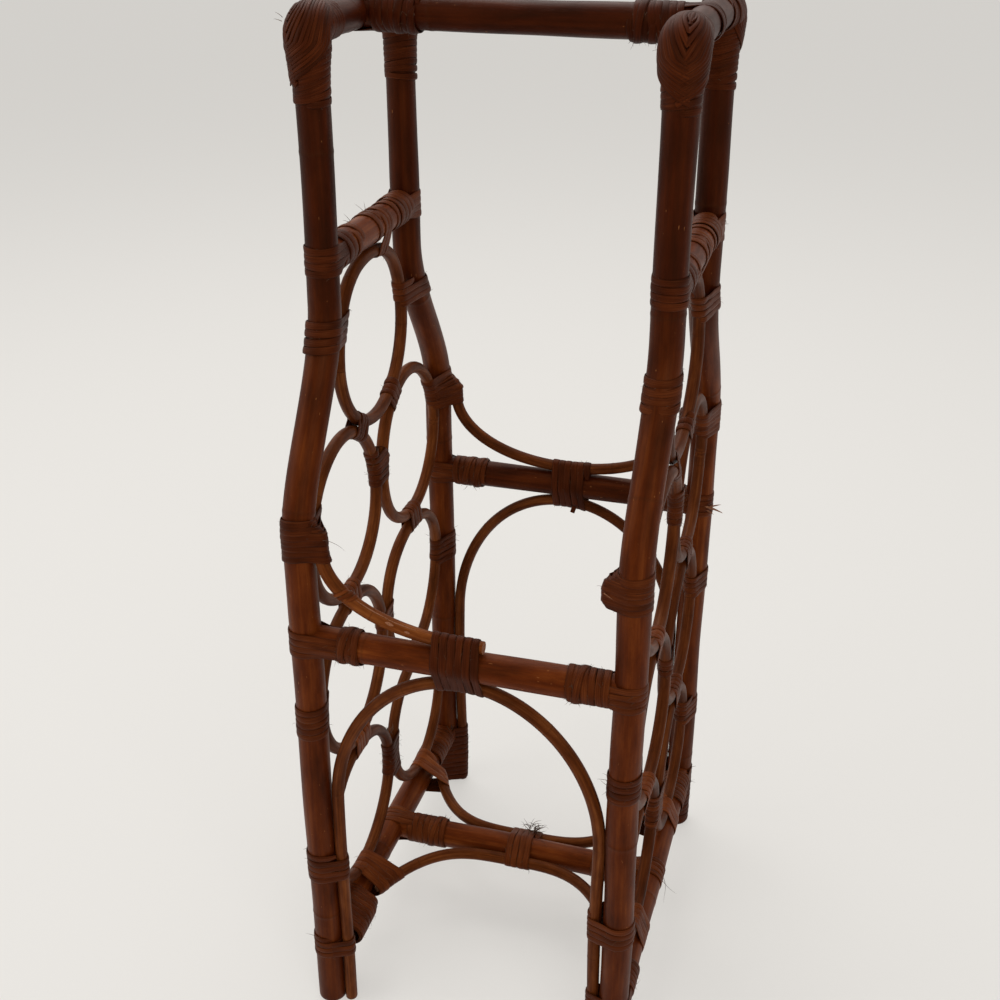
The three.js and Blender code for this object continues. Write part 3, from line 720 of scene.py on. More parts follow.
# Fibres that stand out: {binding: [(foot in mm, heading, length in mm, curl)]}
WHISKERS = {
    "front_left_cap_winding": [
        ((-121, -86, 709), (-1, 0, 0.3), 7, 0.3),
        ((-121, -85, 711), (-0.8, 0, 1), 6, 0.2),
    ],
    "left_upper_turns": [
        ((-112, 2, 577), (-0.5, -0.1, 1), 9, 0.15),
        ((-112, 4, 577), (-0.1, -0.2, 1), 7, 0.15),
        ((-112, -22, 577), (-0.6, 0, 0.8), 7, 0.15),
        ((-112, -24, 577), (-1, 0, 0.3), 5, 0.2),
    ],
    "front_left_second_post_tie": [
        ((-91, -143, 404.5), (1, 0.1, 0.05), 17, 0.08),
        ((-120, -139, 391), (-1, 0, -0.4), 5, 0.3),
        ((-99, -143, 412), (0.7, 0, 1), 6, 0.2),
    ],
    "left_second_pair_tie": [
        ((-111, -6, 407), (0.2, -1, 0.5), 8, 0.2),
        ((-111, 6, 408), (0.3, 1, 0.4), 9, 0.3),
        ((-111, -4, 380), (0, -1, -0.7), 6, 0.2),
        ((-111, 5, 380), (0.4, 1, -0.9), 7, 0.3),
    ],
    "back_left_third_post_tie": [
        ((-101, 139, 266), (0.6, 0, 1), 9, 0.3),
        ((-99, 139, 257), (1, 0, 0.3), 6, 0.2),
        ((-118, 136, 258), (-1, 0, 0.5), 8, 0.3),
    ],
    "front_right_third_post_tie": [
        ((99, -143, 257), (-1, 0, 0.1), 8, 0.2),
        ((99, -143, 253), (-1, 0, 0.4), 6, 0.2),
    ],
    "front_left_foot_joint": [((-120, -141, 57), (-1, 0, 0.05), 9, 0.06)],
    "back_middle_binding": [
        ((15, 136, 345), (0.4, -0.1, 1), 6, 0.2),
        ((16, 136, 345), (-0.5, 0, 1), 6, 0.2),
        ((7, 136, 346), (-0.3, 0, 1), 3, 0.3),
    ],
    "back_left_middle_joint": [
        ((-84, 132, 315), (-0.3, 0, -1), 8, 0.3),
        ((-78, 132, 315), (0.2, 0, -1), 5, 0.3),
    ],
    "low_middle_binding": [((16, 3, 63), (1, 0, 0.4), 14, 0.4), ((18, 4, 62), (1, 0.1, 0.25), 17, 0.3)],
    "back_right_foot_joint": [
        ((121, 139, 60), (1, 0, 0.4), 6, 0.3),
        ((121, 139, 44), (1, 0, -0.2), 5, 0.3),
    ],
    "cross_pole_end_right": [
        ((121, 2, 52), (0.7, -0.3, -1), 22, 0.12),
        ((121, -2, 52), (0.9, -0.2, -0.7), 15, 0.3),
    ],
}

# Splinters of bare cane: {binding: [(foot in mm, heading, length in mm, radius in mm)]}
SPLINTERS = {
    "back_right_middle_joint": [
        ((115, 131, 325), (1, -0.3, -0.05), 17, 1.4),
        ((117, 131, 324), (1, -0.2, 0.4), 13, 1.0),
        ((116, 132, 322), (1, -0.5, -0.2), 9, 0.9),
    ],
    "front_right_second_post_tie": [((92, -144.4, 397.5), (1, -0.4, -0.36), 7, 0.6)],
}

# Tufts of curled fibre: {binding: [(middle of the foot in mm, fibres, longest in mm)]}
TUFTS = {
    "low_middle_binding": [((8, 17, 60), 46, 16)],
    "back_left_foot_joint": [((-103, 127, 60), 12, 9)],
    "left_bottom_pair_tie": [((-110, 0, 148), 10, 7)],
}

# Ends of peel that hang out of a binding: {binding: [(foot in mm, heading, length in mm)]}
TAILS = {"back_middle_binding": [((9, 132, 309), (-0.3, -0.1, -1), 6)]}


class Binding:
    """A binding in the making: its strips, and the fibres that have come loose from them."""

    def __init__(self, name):
        self.name = name
        self.rng = random.Random(name)
        self.strips = new_stock()
        self.fibres = new_stock()

    def finish(self, node=None, tone=None):
        """Joins the strips and the fibres in one piece. tone is how pale it is, or None for any."""
        for foot, heading, length, curl in WHISKERS.get(self.name, ()):
            lay_fibre(self, Vector(foot) * MM, Vector(heading), length * MM, WHISKER_R, curl)
        for foot, heading, length, radius in SPLINTERS.get(self.name, ()):
            foot = Vector(foot) * MM
            lay_fibre(self, foot, Vector(heading), length * MM, radius * MM, SPLINTER_CURL, 0.0, skin=2)
        for foot, count, longest in TUFTS.get(self.name, ()):
            for _ in range(count):
                spread = any_way(self.rng)
                length = longest * self.rng.uniform(0.4, 1.0)
                place = (Vector(foot) + spread * TUFT_SPREAD) * MM
                lay_fibre(self, place, spread + Z, length * MM, TUFT_FIBRE_R, TUFT_CURL)
        for foot, heading, length in TAILS.get(self.name, ()):
            ahead = Vector(heading).normalized()
            places = [(Vector(foot) * MM + ahead * t, -Y) for t in spaced(0, length * MM, 4)]
            lay_strip(self, places, TAIL_W, tucked=False)
        loose = as_mesh("loose", self.fibres)
        self.strips.from_mesh(loose)
        bpy.data.meshes.remove(loose)
        tone = self.rng.uniform(0.1, 0.4) if tone is None else tone
        materials = [PEEL, FIBRE, CUT_END] if self.name in SPLINTERS else [PEEL, FIBRE]
        make_piece(self.name, self.strips, materials, [node] if node else [], tone)


def lay_strip(binding, places, width, tucked=True, tilt=0.0):
    """Lays a strip of peel along places, which are (point on the pole's surface, way out). tilt lifts
    one edge of the strip over the other."""
    rng = binding.rng
    line = Line([point for point, _ in places])
    ways = [out.normalized() for _, out in places]
    start = rng.uniform(0, 40)
    widening = wander(rng, 35 * MM)
    lifting = wander(rng, 25 * MM)
    lean = wander(rng, 30 * MM)

    def seat(row, column):
        s = line.marks[row]
        ahead = (line.points[min(row + 1, len(ways) - 1)] - line.points[max(row - 1, 0)]).normalized()
        across = ahead.cross(ways[row]).normalized()
        out = across.cross(ahead)
        under = max(0.0, 1 - min(s, line.length - s) / TUCK) if tucked else 0.0
        u, v = PEEL_SECTION[column]
        half = width / 2 * (1 + WIDENING * widening(s)) * (1 - TUCK_NARROWS * under)
        lift = UNEVEN * lifting(s) + u * (tilt + UNEVEN * lean(s)) - TUCK_DEPTH * under
        place = line.points[row] + across * (u * half) + out * (v * PEEL_T + lift)
        # The trait is 1 on the strip's underside and rises towards its edges, where the peel material
        # paints shade.
        return place, Vector((u * half, v * PEEL_T, start + s)), abs(u) if v > 0.1 else 1.0

    roll_up(binding.strips, len(places) - 1, len(PEEL_SECTION), seat)
    return line, ways


def lay_fibre(binding, foot, heading, length, radius=FIBRE_R, curl=0.2, droop=0.3, skin=1):
    """One loose fibre: a thin tapered hair that springs from foot and curls over. skin is the place of
    its material in the binding."""
    rng = binding.rng
    bend = any_way(rng).normalized()
    rows = max(5, round(length / FIBRE_STEP))
    points = [foot]
    ahead = heading.normalized()
    for _ in range(rows):
        ahead = (ahead + bend * rng.uniform(0.3 * curl, curl) - Z * (droop / rows)).normalized()
        bend = (bend + any_way(rng) * 0.5).normalized()
        points.append(points[-1] + ahead * (length / rows))
    side = heading.orthogonal().normalized()
    start = rng.uniform(0, 40)

    def seat(row, column):
        angle = math.tau * column / 3
        step = points[min(row + 1, rows)] - points[max(row - 1, 0)]
        lift = step.cross(side).normalized()
        r = radius * (1 - row / rows) ** 0.6 + FIBRE_TIP_R
        place = points[row] + side * (r * math.cos(angle)) + lift * (r * math.sin(angle))
        return place, Vector((0, 0, start + row * MM)), 0.0

    roll_up(binding.fibres, rows, 3, seat, skin=skin, end=skin)


def fray(binding, strip, width, count):
    """Splits fibres off the edges of a strip. Most are short, and a few are long."""
    rng = binding.rng
    line, ways = strip
    for _ in range(count):
        row = rng.randrange(2, len(ways) - 2)
        out = ways[row]
        ahead = (line.points[row + 1] - line.points[row - 1]).normalized()
        across = ahead.cross(out).normalized() * rng.choice((-1, 1))
        foot = line.points[row] + across * (0.46 * width) + out * (0.3 * PEEL_T)
        spring = ahead * rng.choice((-1, 1)) + across * rng.uniform(0.1, 0.6) + out * rng.uniform(0.2, 1.1)
        lay_fibre(binding, foot, spring, FRAY_LONGEST * (0.25 + 0.75 * rng.random() ** 3))


OUTLINE_RAYS = 120
TURN_STEP = 2.2 * MM
LEAST_STEPS = 18              # in one turn
MOST_LEAN = 1.2


def taut_outline(circles, start):
    """The line that a taut strip takes round rods lying side by side, as a function of the share of
    the way round. Each circle is (middle, radius) in the plane across the rods."""
    points = []
    angles = []
    for i in range(OUTLINE_RAYS + 1):
        angle = start + math.tau * i / OUTLINE_RAYS
        way = Vector((math.cos(angle), math.sin(angle)))
        centre, radius = max(circles, key=lambda circle: circle[0].dot(way) + circle[1])
        points.append(centre + way * radius)
        angles.append(angle)
    marks = [0.0]
    for here, there in zip(points, points[1:]):
        marks.append(marks[-1] + (there - here).length)

    def at(share):
        s = share * marks[-1]
        i = min(bisect.bisect_right(marks, s) - 1, OUTLINE_RAYS - 1)
        part = (s - marks[i]) / max(marks[i + 1] - marks[i], 1e-9)
        return points[i].lerp(points[i + 1], part), angles[i] + (angles[i + 1] - angles[i]) * part

    return at, marks[-1]


def reach(circles, way):
    """How far rods lying side by side reach in a direction."""
    return max(centre.dot(way) + radius for centre, radius in circles)


def winding(origin, u, v, bundle, turns, height, start, lift=SNUG):
    """Places of a strip that winds round a bundle. bundle(h) gives its circles at a height along the
    axis, and height(turn) the strip's height. Where the bundle narrows, the strip leans with it."""
    axis = u.cross(v)
    levels = [bundle(height(min(k, turns))) for k in range(math.ceil(turns) + 2)]
    rounds = [taut_outline([(c, r + lift) for c, r in circles], start) for circles in levels]
    steps = max(LEAST_STEPS, round(rounds[0][1] / TURN_STEP))
    places = []
    for i in range(math.floor(turns * steps) + 1):
        turn = i / steps
        k = math.floor(turn)
        share = turn - k
        here, angle = rounds[k][0](share)
        there, _ = rounds[k + 1][0](share)
        flat = here.lerp(there, share)
        way = Vector((math.cos(angle), math.sin(angle)))
        draws_in = (reach(levels[k], way) - reach(levels[k + 1], way)) / (height(k + 1) - height(k))
        out = u * way.x + v * way.y + axis * min(max(draws_in, -MOST_LEAN), MOST_LEAN)
        places.append((origin + u * flat.x + v * flat.y + axis * height(turn), out))
    return places


LOOSE = 8 * MM                # a strip starts to let go of a rod that lies this far from the first one
LET_GO = 6 * MM               # and lies on the first rod alone so much further off
OVER_END = 2.5 * MM           # how far past a rod's end a strip still goes round it
PAST_END = 6 * MM             # and so much further on it lies on the first rod alone
LEAST_SQUARE = 0.75           # a rod that crosses the plane more aslant counts as no thicker


def bundle_of(origin, u, v, members, loose, over_end, past_end):
    """The circles of the named rods in the plane at a height along the axis. Where a rod ends, or
    lies too far from the first one, the strip draws in to the first one."""
    axis = u.cross(v)

    def circles(h):
        level = origin + axis * h
        found = []
        for node in members:
            line, radius = rods[node]
            point, heading, beyond = line.crossing(level, axis)
            square = max(abs(heading.dot(axis)), LEAST_SQUARE)
            offset = point - level
            centre = Vector((offset.dot(u), offset.dot(v)))
            if found:
                first, first_radius = found[0]
                apart = (centre - first).length - radius - first_radius
                let_go = smoothstep(apart, loose, loose + LET_GO)
                centre = centre.lerp(first, max(let_go, smoothstep(beyond, over_end, over_end + past_end)))
            found.append((centre, radius / square ** 0.5))
        return found

    return circles


def even_turns(rng, turns, pitch, slant):
    """Turns one pitch apart, each a little off, as a hand lays them. slant is how much lower than the
    middle they lie where they start, and higher on the other side."""
    slip = wander(rng, 1.4)
    return lambda turn: (
        pitch * (turn - turns / 2) + 0.10 * pitch * slip(turn) - slant * math.cos(math.tau * turn)
    )


def tie(
    name, members, origin, u, v, turns, pitch=4.9 * MM, width=5.1 * MM, start=0.0, frays=14, node=None,
    tone=None, loose=LOOSE, over_end=OVER_END, past_end=PAST_END, tilt=0.0, slant=0.0, lined=False,
):
    """Winds a strip round rods that lie side by side. A lined tie has turns under the others too."""
    binding = Binding(name)
    bundle = bundle_of(origin, u, v, members, loose, over_end, past_end)
    height = even_turns(binding.rng, turns, pitch, slant)
    if lined:
        def under(turn):
            return height(turn) + pitch / 2

        lay_strip(binding, winding(origin, u, v, bundle, turns - 1, under, start, lift=-0.4 * MM), width)
    strip = lay_strip(binding, winding(origin, u, v, bundle, turns, height, start), width, tilt=tilt)
    fray(binding, strip, width, frays)
    binding.finish(node, tone)


def tilted(axis, towards):
    """Two directions that span the plane across an axis, the first one towards a direction."""
    u = (towards - axis * towards.dot(axis)).normalized()
    return u, axis.cross(u)


# Corner caps: turns from the post over the corner to the rail, then strips folded over it in a nest

CAP_BEND = 7 * MM             # radius of the corner's middle line
CAP_STRIPS = 13
CAP_CENTRE = 3 * MM           # the nest's centre, along the middle line from the corner to the rail
CAP_TIP = 31 * MM             # from the centre to the outermost strip's tip on the post
CAP_CREST = 14 * MM           # and to where it crosses the rail
CAP_REACH = 114               # degrees that it reaches round each side
CAP_EYE = 1.5 * MM            # the innermost strip goes round an eye of this radius
CAP_EYE_TURN = 6              # which is so many degrees round the pole
CAP_EYE_SHUT = (-2.4 * MM, 1.4 * MM)    # and is shut by a short strip, this far either way
CAP_BULK = 2.2 * MM           # how much thicker the cap gets towards the corner
CAP_BULK_AT = -3 * MM         # and where it is thickest
CAP_BULK_SPREAD = 17 * MM
CAP_CORE_START = -28 * MM     # the turns lie on a core from here on the post to the rail
CAP_CORE_STEP = 1.5 * MM
CAP_CORE_ROWS = 34
CAP_CORE_COLUMNS = 24
CAP_TURN_W = 4.3 * MM
CAP_TURN_STEPS = 30
CAP_TURN_SLANT = 3.4 * MM     # the turns lie higher towards +X, but not at the cap's lower end
CAP_SQUARE_END = 8 * MM
CAP_STRIP_W = 3.3 * MM
CAP_RAIL_END = 27 * MM
CAP_PITCH = 3.8 * MM
NEST_LIFT = 1.2 * MM
NEST_TILT = 0.35 * MM         # each strip of the nest lies with one edge over the next
# How far down the post each cap goes, and how many degrees its nest is turned outwards
CAPS = {
    "front_left": (42 * MM, 38),
    "front_right": (35 * MM, 13),
    "back_left": (50 * MM, 25),
    "back_right": (46 * MM, 25),
}


def cap_spine(s):
    """The corner's middle line: (outwards, up, heading angle) from where the two poles' lines meet."""
    half = CAP_BEND * math.pi / 4
    if s < -half:
        return 0.0, -CAP_BEND + (s + half), 0.0
    if s > half:
        return -CAP_BEND - (s - half), 0.0, math.pi / 2
    turn = (s + half) / CAP_BEND
    return -CAP_BEND + CAP_BEND * math.cos(turn), -CAP_BEND + CAP_BEND * math.sin(turn), turn


def cap_bulk(s):
    return CAP_BULK * math.exp(-((s - CAP_BULK_AT) / CAP_BULK_SPREAD) ** 2)


def cap_place(sx, sy, s, angle, radius):
    """A place on the cap's surface: s along the middle line, angle round it from the outer side."""
    outwards, up, turn = cap_spine(s)
    way = Vector((math.sin(angle), sy * math.cos(turn) * math.cos(angle), math.sin(turn) * math.cos(angle)))
    on_line = Vector((sx * POST_X, sy * (TOP_Y + outwards), TOP_RAIL_Z + up))
    return on_line + way * radius, way


def nest_strip(sx, sy, share, aside):
    """One strip of the nest: from its tip on the post up over the corner, and back down to the tip.
    share is 1 for the outermost strip, and aside turns the nest round the corner."""
    tip = CAP_CENTRE - CAP_EYE - (CAP_TIP - CAP_EYE) * share
    crest = CAP_CENTRE + CAP_EYE + (CAP_CREST - CAP_EYE) * share
    wide = math.radians(CAP_EYE_TURN + (CAP_REACH - CAP_EYE_TURN) * share)
    waist = CAP_CENTRE - 0.25 * CAP_TIP * share
    half = [
        (wide * (1 - (1 - p) ** 1.6) if p > 0 else wide * 1.6 * p, tip + (waist - tip) * p)
        for p in spaced(-0.10, 1, 20)
    ]
    half += [
        (wide * math.cos(q), waist + (crest - waist) * math.sin(q))
        for q in spaced(0, math.pi / 2, 14)[1:]
    ]
    outline = half + [(-angle, s) for angle, s in reversed(half[:-1])]
    return [cap_place(sx, sy, s, angle + aside, POLE_R + NEST_LIFT + cap_bulk(s)) for angle, s in outline]


def make_corner_cap(corner, sx, sy):
    binding = Binding(f"{corner}_cap_winding")
    post_end, turned = CAPS[corner]
    aside = sx * math.radians(turned)
    low = -post_end

    def core(row, column):
        s = CAP_CORE_START + row * CAP_CORE_STEP
        angle = math.tau * column / CAP_CORE_COLUMNS
        point, _ = cap_place(sx, sy, s, angle, POLE_R - 0.2 * MM + cap_bulk(s))
        return point, Vector((math.cos(angle), math.sin(angle), s)), 0.0

    roll_up(binding.strips, CAP_CORE_ROWS, CAP_CORE_COLUMNS, core)
    turns = (CAP_RAIL_END - low) / CAP_PITCH
    slip = wander(binding.rng, 1.5)
    under = []
    for i in range(round(turns * CAP_TURN_STEPS) + 1):
        turn = i / CAP_TURN_STEPS
        angle = math.tau * turn
        level = low + CAP_PITCH * turn
        slant = CAP_TURN_SLANT * math.sin(angle + aside) * smoothstep(level, low, low + CAP_SQUARE_END)
        s = level + slant + 0.4 * MM * slip(turn)
        under.append(cap_place(sx, sy, s, angle, POLE_R + SNUG + cap_bulk(s)))
    strip = lay_strip(binding, under, CAP_TURN_W)
    fray(binding, strip, CAP_TURN_W, 24)
    for share in spaced(1, 0, CAP_STRIPS):
        width = CAP_STRIP_W * min(1.0, 0.75 + 2 * share)
        lay_strip(binding, nest_strip(sx, sy, share, aside), width, tucked=False, tilt=NEST_TILT)
    shut = [
        cap_place(sx, sy, CAP_CENTRE + s, aside, POLE_R + 1.5 * MM + cap_bulk(CAP_CENTRE))
        for s in spaced(*CAP_EYE_SHUT, 6)
    ]
    lay_strip(binding, shut, 2.2 * MM, tucked=False)
    binding.finish(f"{corner}_corner_cap", tone=0.12)


# Joints where a rail meets a post or another rail

FOUR_LEVELS = [k * MM for k in (-7.2, -2.4, 2.4, 7.2)]
THREE_LEVELS = [k * MM for k in (-5.5, -0.5, 4.5)]
STRAP_LIFT = 0.8 * MM         # the turns over the straps lie this far off the rail
CROSSED_LIFT = 1.5 * MM       # and the turns that cross them this far
CROSSED_PITCH = 9 * MM
UNDER_TURNS = 2 * MM          # the straps end this far inside the last turn
WAD = (Vector((-3 * MM, 11 * MM)), 7 * MM)    # its middle, up and across from the rail's, and its radius
WAD_NEAR = 13 * MM
WAD_TURNS = 8.6               # in the first layer over the wad. Each further one has LAYER_SHORTER less.
WAD_PITCH = 4.3 * MM
LAYER_SHORTER = 0.9
MIDDLE_JOINTS = {
    # corner: (from the post's middle to the first turn, turns, crossed turns)
    "front_left": (25 * MM, 3.4, 1.6),
    "front_right": (11.5 * MM, 5.8, 1.0),
    "back_left": (14 * MM, 5.8, 1.6),
    "back_right": (14 * MM, 5.0, 0.0),
}
UPPER_JOINTS = {"front": (2.4, 0.15), "back": (3.4, 0.5)}        # (turns, tone)
BOTTOM_TURNS = {"front": 5.2, "back": 8.2}
FOOT_JOINTS = {
    # face: (height, turns, frays, tone)
    "front": (BOTTOM_RAIL_Z + 1 * MM, 3.5, 12, 0.25),
    "back": (32 * MM, 11.6, 70, 0.1),
}


def strap(binding, origin, trunk, branch, level, run):
    """A strip laid along one side of a rail, round the far side of what the rail meets, and back along
    the other side. level is its height above the rail's middle, and run how far it goes along."""
    across = trunk.cross(branch)
    on_rail = 0.8 * level
    beside = math.sqrt(POLE_R ** 2 - on_rail ** 2)
    steps = math.ceil(run / (2.4 * MM))

    def along(t, side):
        share = smoothstep(t, 0, 1.5 * POLE_R)
        reached = POLE_R + (beside - POLE_R) * share
        height = level + (on_rail - level) * share
        out = across * side + (trunk * (on_rail / POLE_R)) * share
        return origin + branch * t + trunk * height + across * (side * (reached + SNUG)), out

    places = [along(t, 1) for t in spaced(run, 0, steps)]
    for angle in spaced(0, math.pi, 16)[1:-1]:
        way = across * math.cos(angle) - branch * math.sin(angle)
        places.append((origin + trunk * level + way * (POLE_R + SNUG), way))
    places += [along(t, -1) for t in spaced(0, run, steps)]
    return lay_strip(binding, places, PEEL_W)


def rail_turns(binding, origin, axis, start, turns, pitch, frays, lift=SNUG, width=PEEL_W, wad=()):
    """Turns round a rail, from start along axis. wad is a (middle, radius) that lies beside the rail
    under the turns, as up and across from the rail's middle."""
    u, v = tilted(axis, Z)
    slip = wander(binding.rng, 1.3)
    places = winding(
        origin, u, v, lambda h: [(Vector((0, 0)), POLE_R), *wad], turns,
        lambda turn: start + pitch * turn + 0.4 * MM * slip(turn),
        start=binding.rng.uniform(0, math.tau), lift=lift,
    )
    fray(binding, lay_strip(binding, places, width), width, frays)


def t_joint(
    name, origin, trunk, branch, levels, near, turns, tone, pitch=4.7 * MM, width=PEEL_W, node=None,
    crossed=0.0, frays=16, layers=0,
):
    """Straps round what the rail meets, bound down by turns round the rail from near. crossed adds
    that many turns over them, laid the other way, and layers so many layers over a wad beside it."""
    binding = Binding(name)
    far = near + turns * pitch
    under = far - UNDER_TURNS
    for level in levels:
        fray(binding, strap(binding, origin, trunk, branch, level, under), PEEL_W, 3)
    rail_turns(binding, origin, branch, near, turns, pitch, frays, STRAP_LIFT, width)
    if crossed:
        rail_turns(binding, origin, branch, under, crossed, -CROSSED_PITCH, frays // 2, CROSSED_LIFT)
    for layer in range(layers):
        rail_turns(
            binding, origin, branch, WAD_NEAR, WAD_TURNS - LAYER_SHORTER * layer, WAD_PITCH, 2 * frays,
            lift=(0.8 + layer) * MM, wad=[WAD],
        )
    binding.finish(node, tone)


def make_joints():
    for corner, (sx, sy) in CORNERS.items():
        face = corner.split("_")[0]
        inward = Y * -sy
        post = Vector((sx * POST_X, sy * BASE_Y, 0))
        near, turns, crossed = MIDDLE_JOINTS[corner]
        t_joint(
            f"{corner}_middle_joint", post + Z * MIDDLE_RAIL_Z, Z, X * -sx, FOUR_LEVELS, near, turns,
            0.35, node=f"{corner}_rail_binding", crossed=crossed, frays=60,
        )
        turns, tone = UPPER_JOINTS[face]
        t_joint(
            f"{corner}_upper_joint", Vector((sx * POST_X, sy * TOP_Y, UPPER_RAIL_Z)), Z, inward,
            FOUR_LEVELS, 14 * MM, turns, tone, pitch=6.8 * MM, width=6.8 * MM,
            node=f"{corner}_upper_lashing",
        )
        t_joint(
            f"{corner}_bottom_joint", post + Z * BOTTOM_RAIL_Z, Z, inward, THREE_LEVELS, 13 * MM,
            BOTTOM_TURNS[face], 0.4, frays=90, layers=3 if corner == "front_left" else 0,
        )
        height, turns, frays, tone = FOOT_JOINTS[face]
        tie(
            f"{corner}_foot_joint", [f"{corner}_post", f"{face}_arch"], post + Z * height, X, Y, turns,
            start=-sy * math.pi / 2, node=f"{corner}_foot_lashing" if face == "front" else None,
            frays=frays, tone=tone,
        )
    for side, sx in SIDES.items():
        at_handle = Vector((sx * POST_X, 0, TOP_RAIL_Z))
        t_joint(
            f"handle_end_{side}", at_handle, Y, X * -sx, THREE_LEVELS, 12 * MM, 7.6, 0.0,
            pitch=4.1 * MM, node=f"handle_binding_{side}", crossed=1.4, frays=60,
        )
        at_cross_rail = Vector((sx * POST_X, 0, BOTTOM_RAIL_Z))
        t_joint(
            f"cross_pole_end_{side}", at_cross_rail, Y, X * -sx, FOUR_LEVELS, 17 * MM, 6.4, 0.55,
            crossed=1.2, frays=70,
        )


SPIRAL_RUNS = ((-38 * MM, 1.2), (-4 * MM, 1.5), (28 * MM, 1.3))        # (start, turns)
CENTRE_BINDINGS = {"front": (-2.5 * MM, 6.0), "back": (4 * MM, 5.4)}    # (aside, turns)


def make_rail_bindings():
    for side, sx in SIDES.items():
        binding = Binding(f"{side}_upper_turns")
        origin = Vector((sx * POST_X, 0, UPPER_RAIL_Z))
        for start, turns in SPIRAL_RUNS:
            rail_turns(binding, origin, Y, start, turns, 6.5 * MM, 4, width=6.4 * MM)
        binding.finish(f"{side}_upper_spiral", tone=0.55)
        tie(
            f"{side}_top_ring_tie", [f"{side}_upper_rail", f"{side}_ring_top"], origin + Y * (15 * MM),
            Z, X, 2.6, tone=0.6, loose=20 * MM,
        )
    for face, sy in FACES.items():
        members = [f"{face}_rail", f"{face}_arch", f"{face}_hanging_cane"]
        aside, turns = CENTRE_BINDINGS[face]
        tie(
            f"{face}_middle_binding", members, Vector((aside, sy * BASE_Y, MIDDLE_RAIL_Z)), Y, Z, turns,
            pitch=5.3 * MM, width=5.5 * MM, frays=40, node=f"{face}_centre_binding", tone=0.12,
        )
    members = ["bottom_cross_rail", "front_floor_cane", "back_floor_cane"]
    tie(
        "low_middle_binding", members, Vector((4 * MM, 0, BOTTOM_RAIL_Z)), Y, Z, 4.2, frays=90,
        node="floor_centre_binding", tone=0.6,
    )


# Ties of the side lattices

RING_RAIL_TIES = {
    # face: (how far along the bottom rail, turns, pitch, width, tone)
    "front": (69.5 * MM, 5.0, 4.7 * MM, 6.6 * MM, 0.6),
    "back": (66 * MM, 3.6, 5.4 * MM, 7.8 * MM, 1.0),
}
# Ties between the two rings of a row: (row, how far above its middle, turns)
PAIR_TIES = (("second", 12 * MM, 6.4), ("third", 8 * MM, 3.6), ("bottom", 1 * MM, 6.6))


def make_ring_ties():
    for side, sx in SIDES.items():
        x = sx * POST_X
        top = f"{side}_ring_top"
        for face, sy in FACES.items():
            second, third, bottom = (f"{side}_ring_{row}_{face}" for row in ROW_Z)
            spot = middle(top).lerp(middle(second), 0.5)
            slope = (middle(second) - middle(top)).normalized()
            u, v = tilted(Vector((0, -slope.z, slope.y)), X)
            tie(f"{top}_{face}_tie", [top, second], Vector((x, spot.y, spot.z)), u, v, 3.8)
            for upper, lower, turns, tone in ((second, third, 3.6, 0.8), (third, bottom, 4.4, 0.9)):
                spot = Vector((x, middle(upper).y, (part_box(upper)[0].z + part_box(lower)[1].z) / 2))
                tie(
                    f"{upper}_low_tie", [upper, lower], spot, Z, X, turns, pitch=5.4 * MM, width=5.7 * MM,
                    frays=24, tone=tone if face == "front" else 0.4,
                )
            at_rail, turns, pitch, width, tone = RING_RAIL_TIES[face]
            tie(
                f"{bottom}_rail_tie", [f"{side}_bottom_rail", bottom, f"{face}_floor_cane"],
                Vector((x, sy * at_rail, BOTTOM_RAIL_Z)), Z, X, turns, pitch=pitch, width=width,
                start=math.pi, tone=tone, frays=40, loose=16 * MM,
            )
        for row, up, turns in PAIR_TIES:
            pair = [f"{side}_ring_{row}_front", f"{side}_ring_{row}_back"]
            tie(f"{side}_{row}_pair_tie", pair, Vector((x, 0, ROW_Z[row] + up)), X, Y, turns, frays=60)


# Ties beside the posts: {what is tied: (height in mm, turns) at each corner, in the order of CORNERS}
POST_TIES = {
    "ring_top": ((517, 4.2), (506, 4.0), (504, 3.2), (516, 4.0)),
    "second": ((400, 7.0), (399, 6.0), (402, 6.5), (402, 5.8)),
    "third": ((260, 4.8), (254, 4.2), (254, 4.4), (257, 4.0)),
    "bottom": ((132, 4.6), (127, 4.4), (130, 4.2), (130, 4.2)),
}
FRONT_NODES = {"second": "hanging_tie", "bottom": "leg_tie"}
SLANTED_TIES = ("front_left_ring_top", "front_left_second")
TIE_SLANT = 3.2 * MM


def make_post_ties():
    for row, ties in POST_TIES.items():
        for corner, (height, turns) in zip(CORNERS, ties):
            sx, sy = CORNERS[corner]
            face, side = corner.split("_")
            z = height * MM
            spot = Vector((sx * POST_X, sy * post_y(z), z))
            members = [f"{corner}_post", f"{side}_ring_{row}_{face}"]
            settings = {"frays": 24, "start": -sy * math.pi / 2}
            if f"{corner}_{row}" in SLANTED_TIES:
                settings["slant"] = TIE_SLANT
            if row == "ring_top":
                members[1] = f"{side}_ring_top"
                settings["loose"] = 16 * MM
            if row == "second":
                members.append("front_cane_stub" if corner == "front_right" else f"{face}_hanging_cane")
                settings.update(pitch=3.9 * MM, width=5.8 * MM, tilt=0.3 * MM, lined=True)
                settings.update(over_end=0.0, past_end=13 * MM)
            if row == "bottom":
                members.append(f"{face}_arch")
            if face == "front" and row in FRONT_NODES:
                settings["node"] = f"{corner}_{FRONT_NODES[row]}"
            tie(f"{corner}_{row}_post_tie", members, spot, X, Y, turns, **settings)


# The front hanging cane's torn wrap
WRAP_AT = 42 * MM
WRAP_TURNS = 2.4
WRAP_PITCH = 3.4 * MM
WRAP_SLANT = 2.6 * MM
WRAP_W = 2.6 * MM
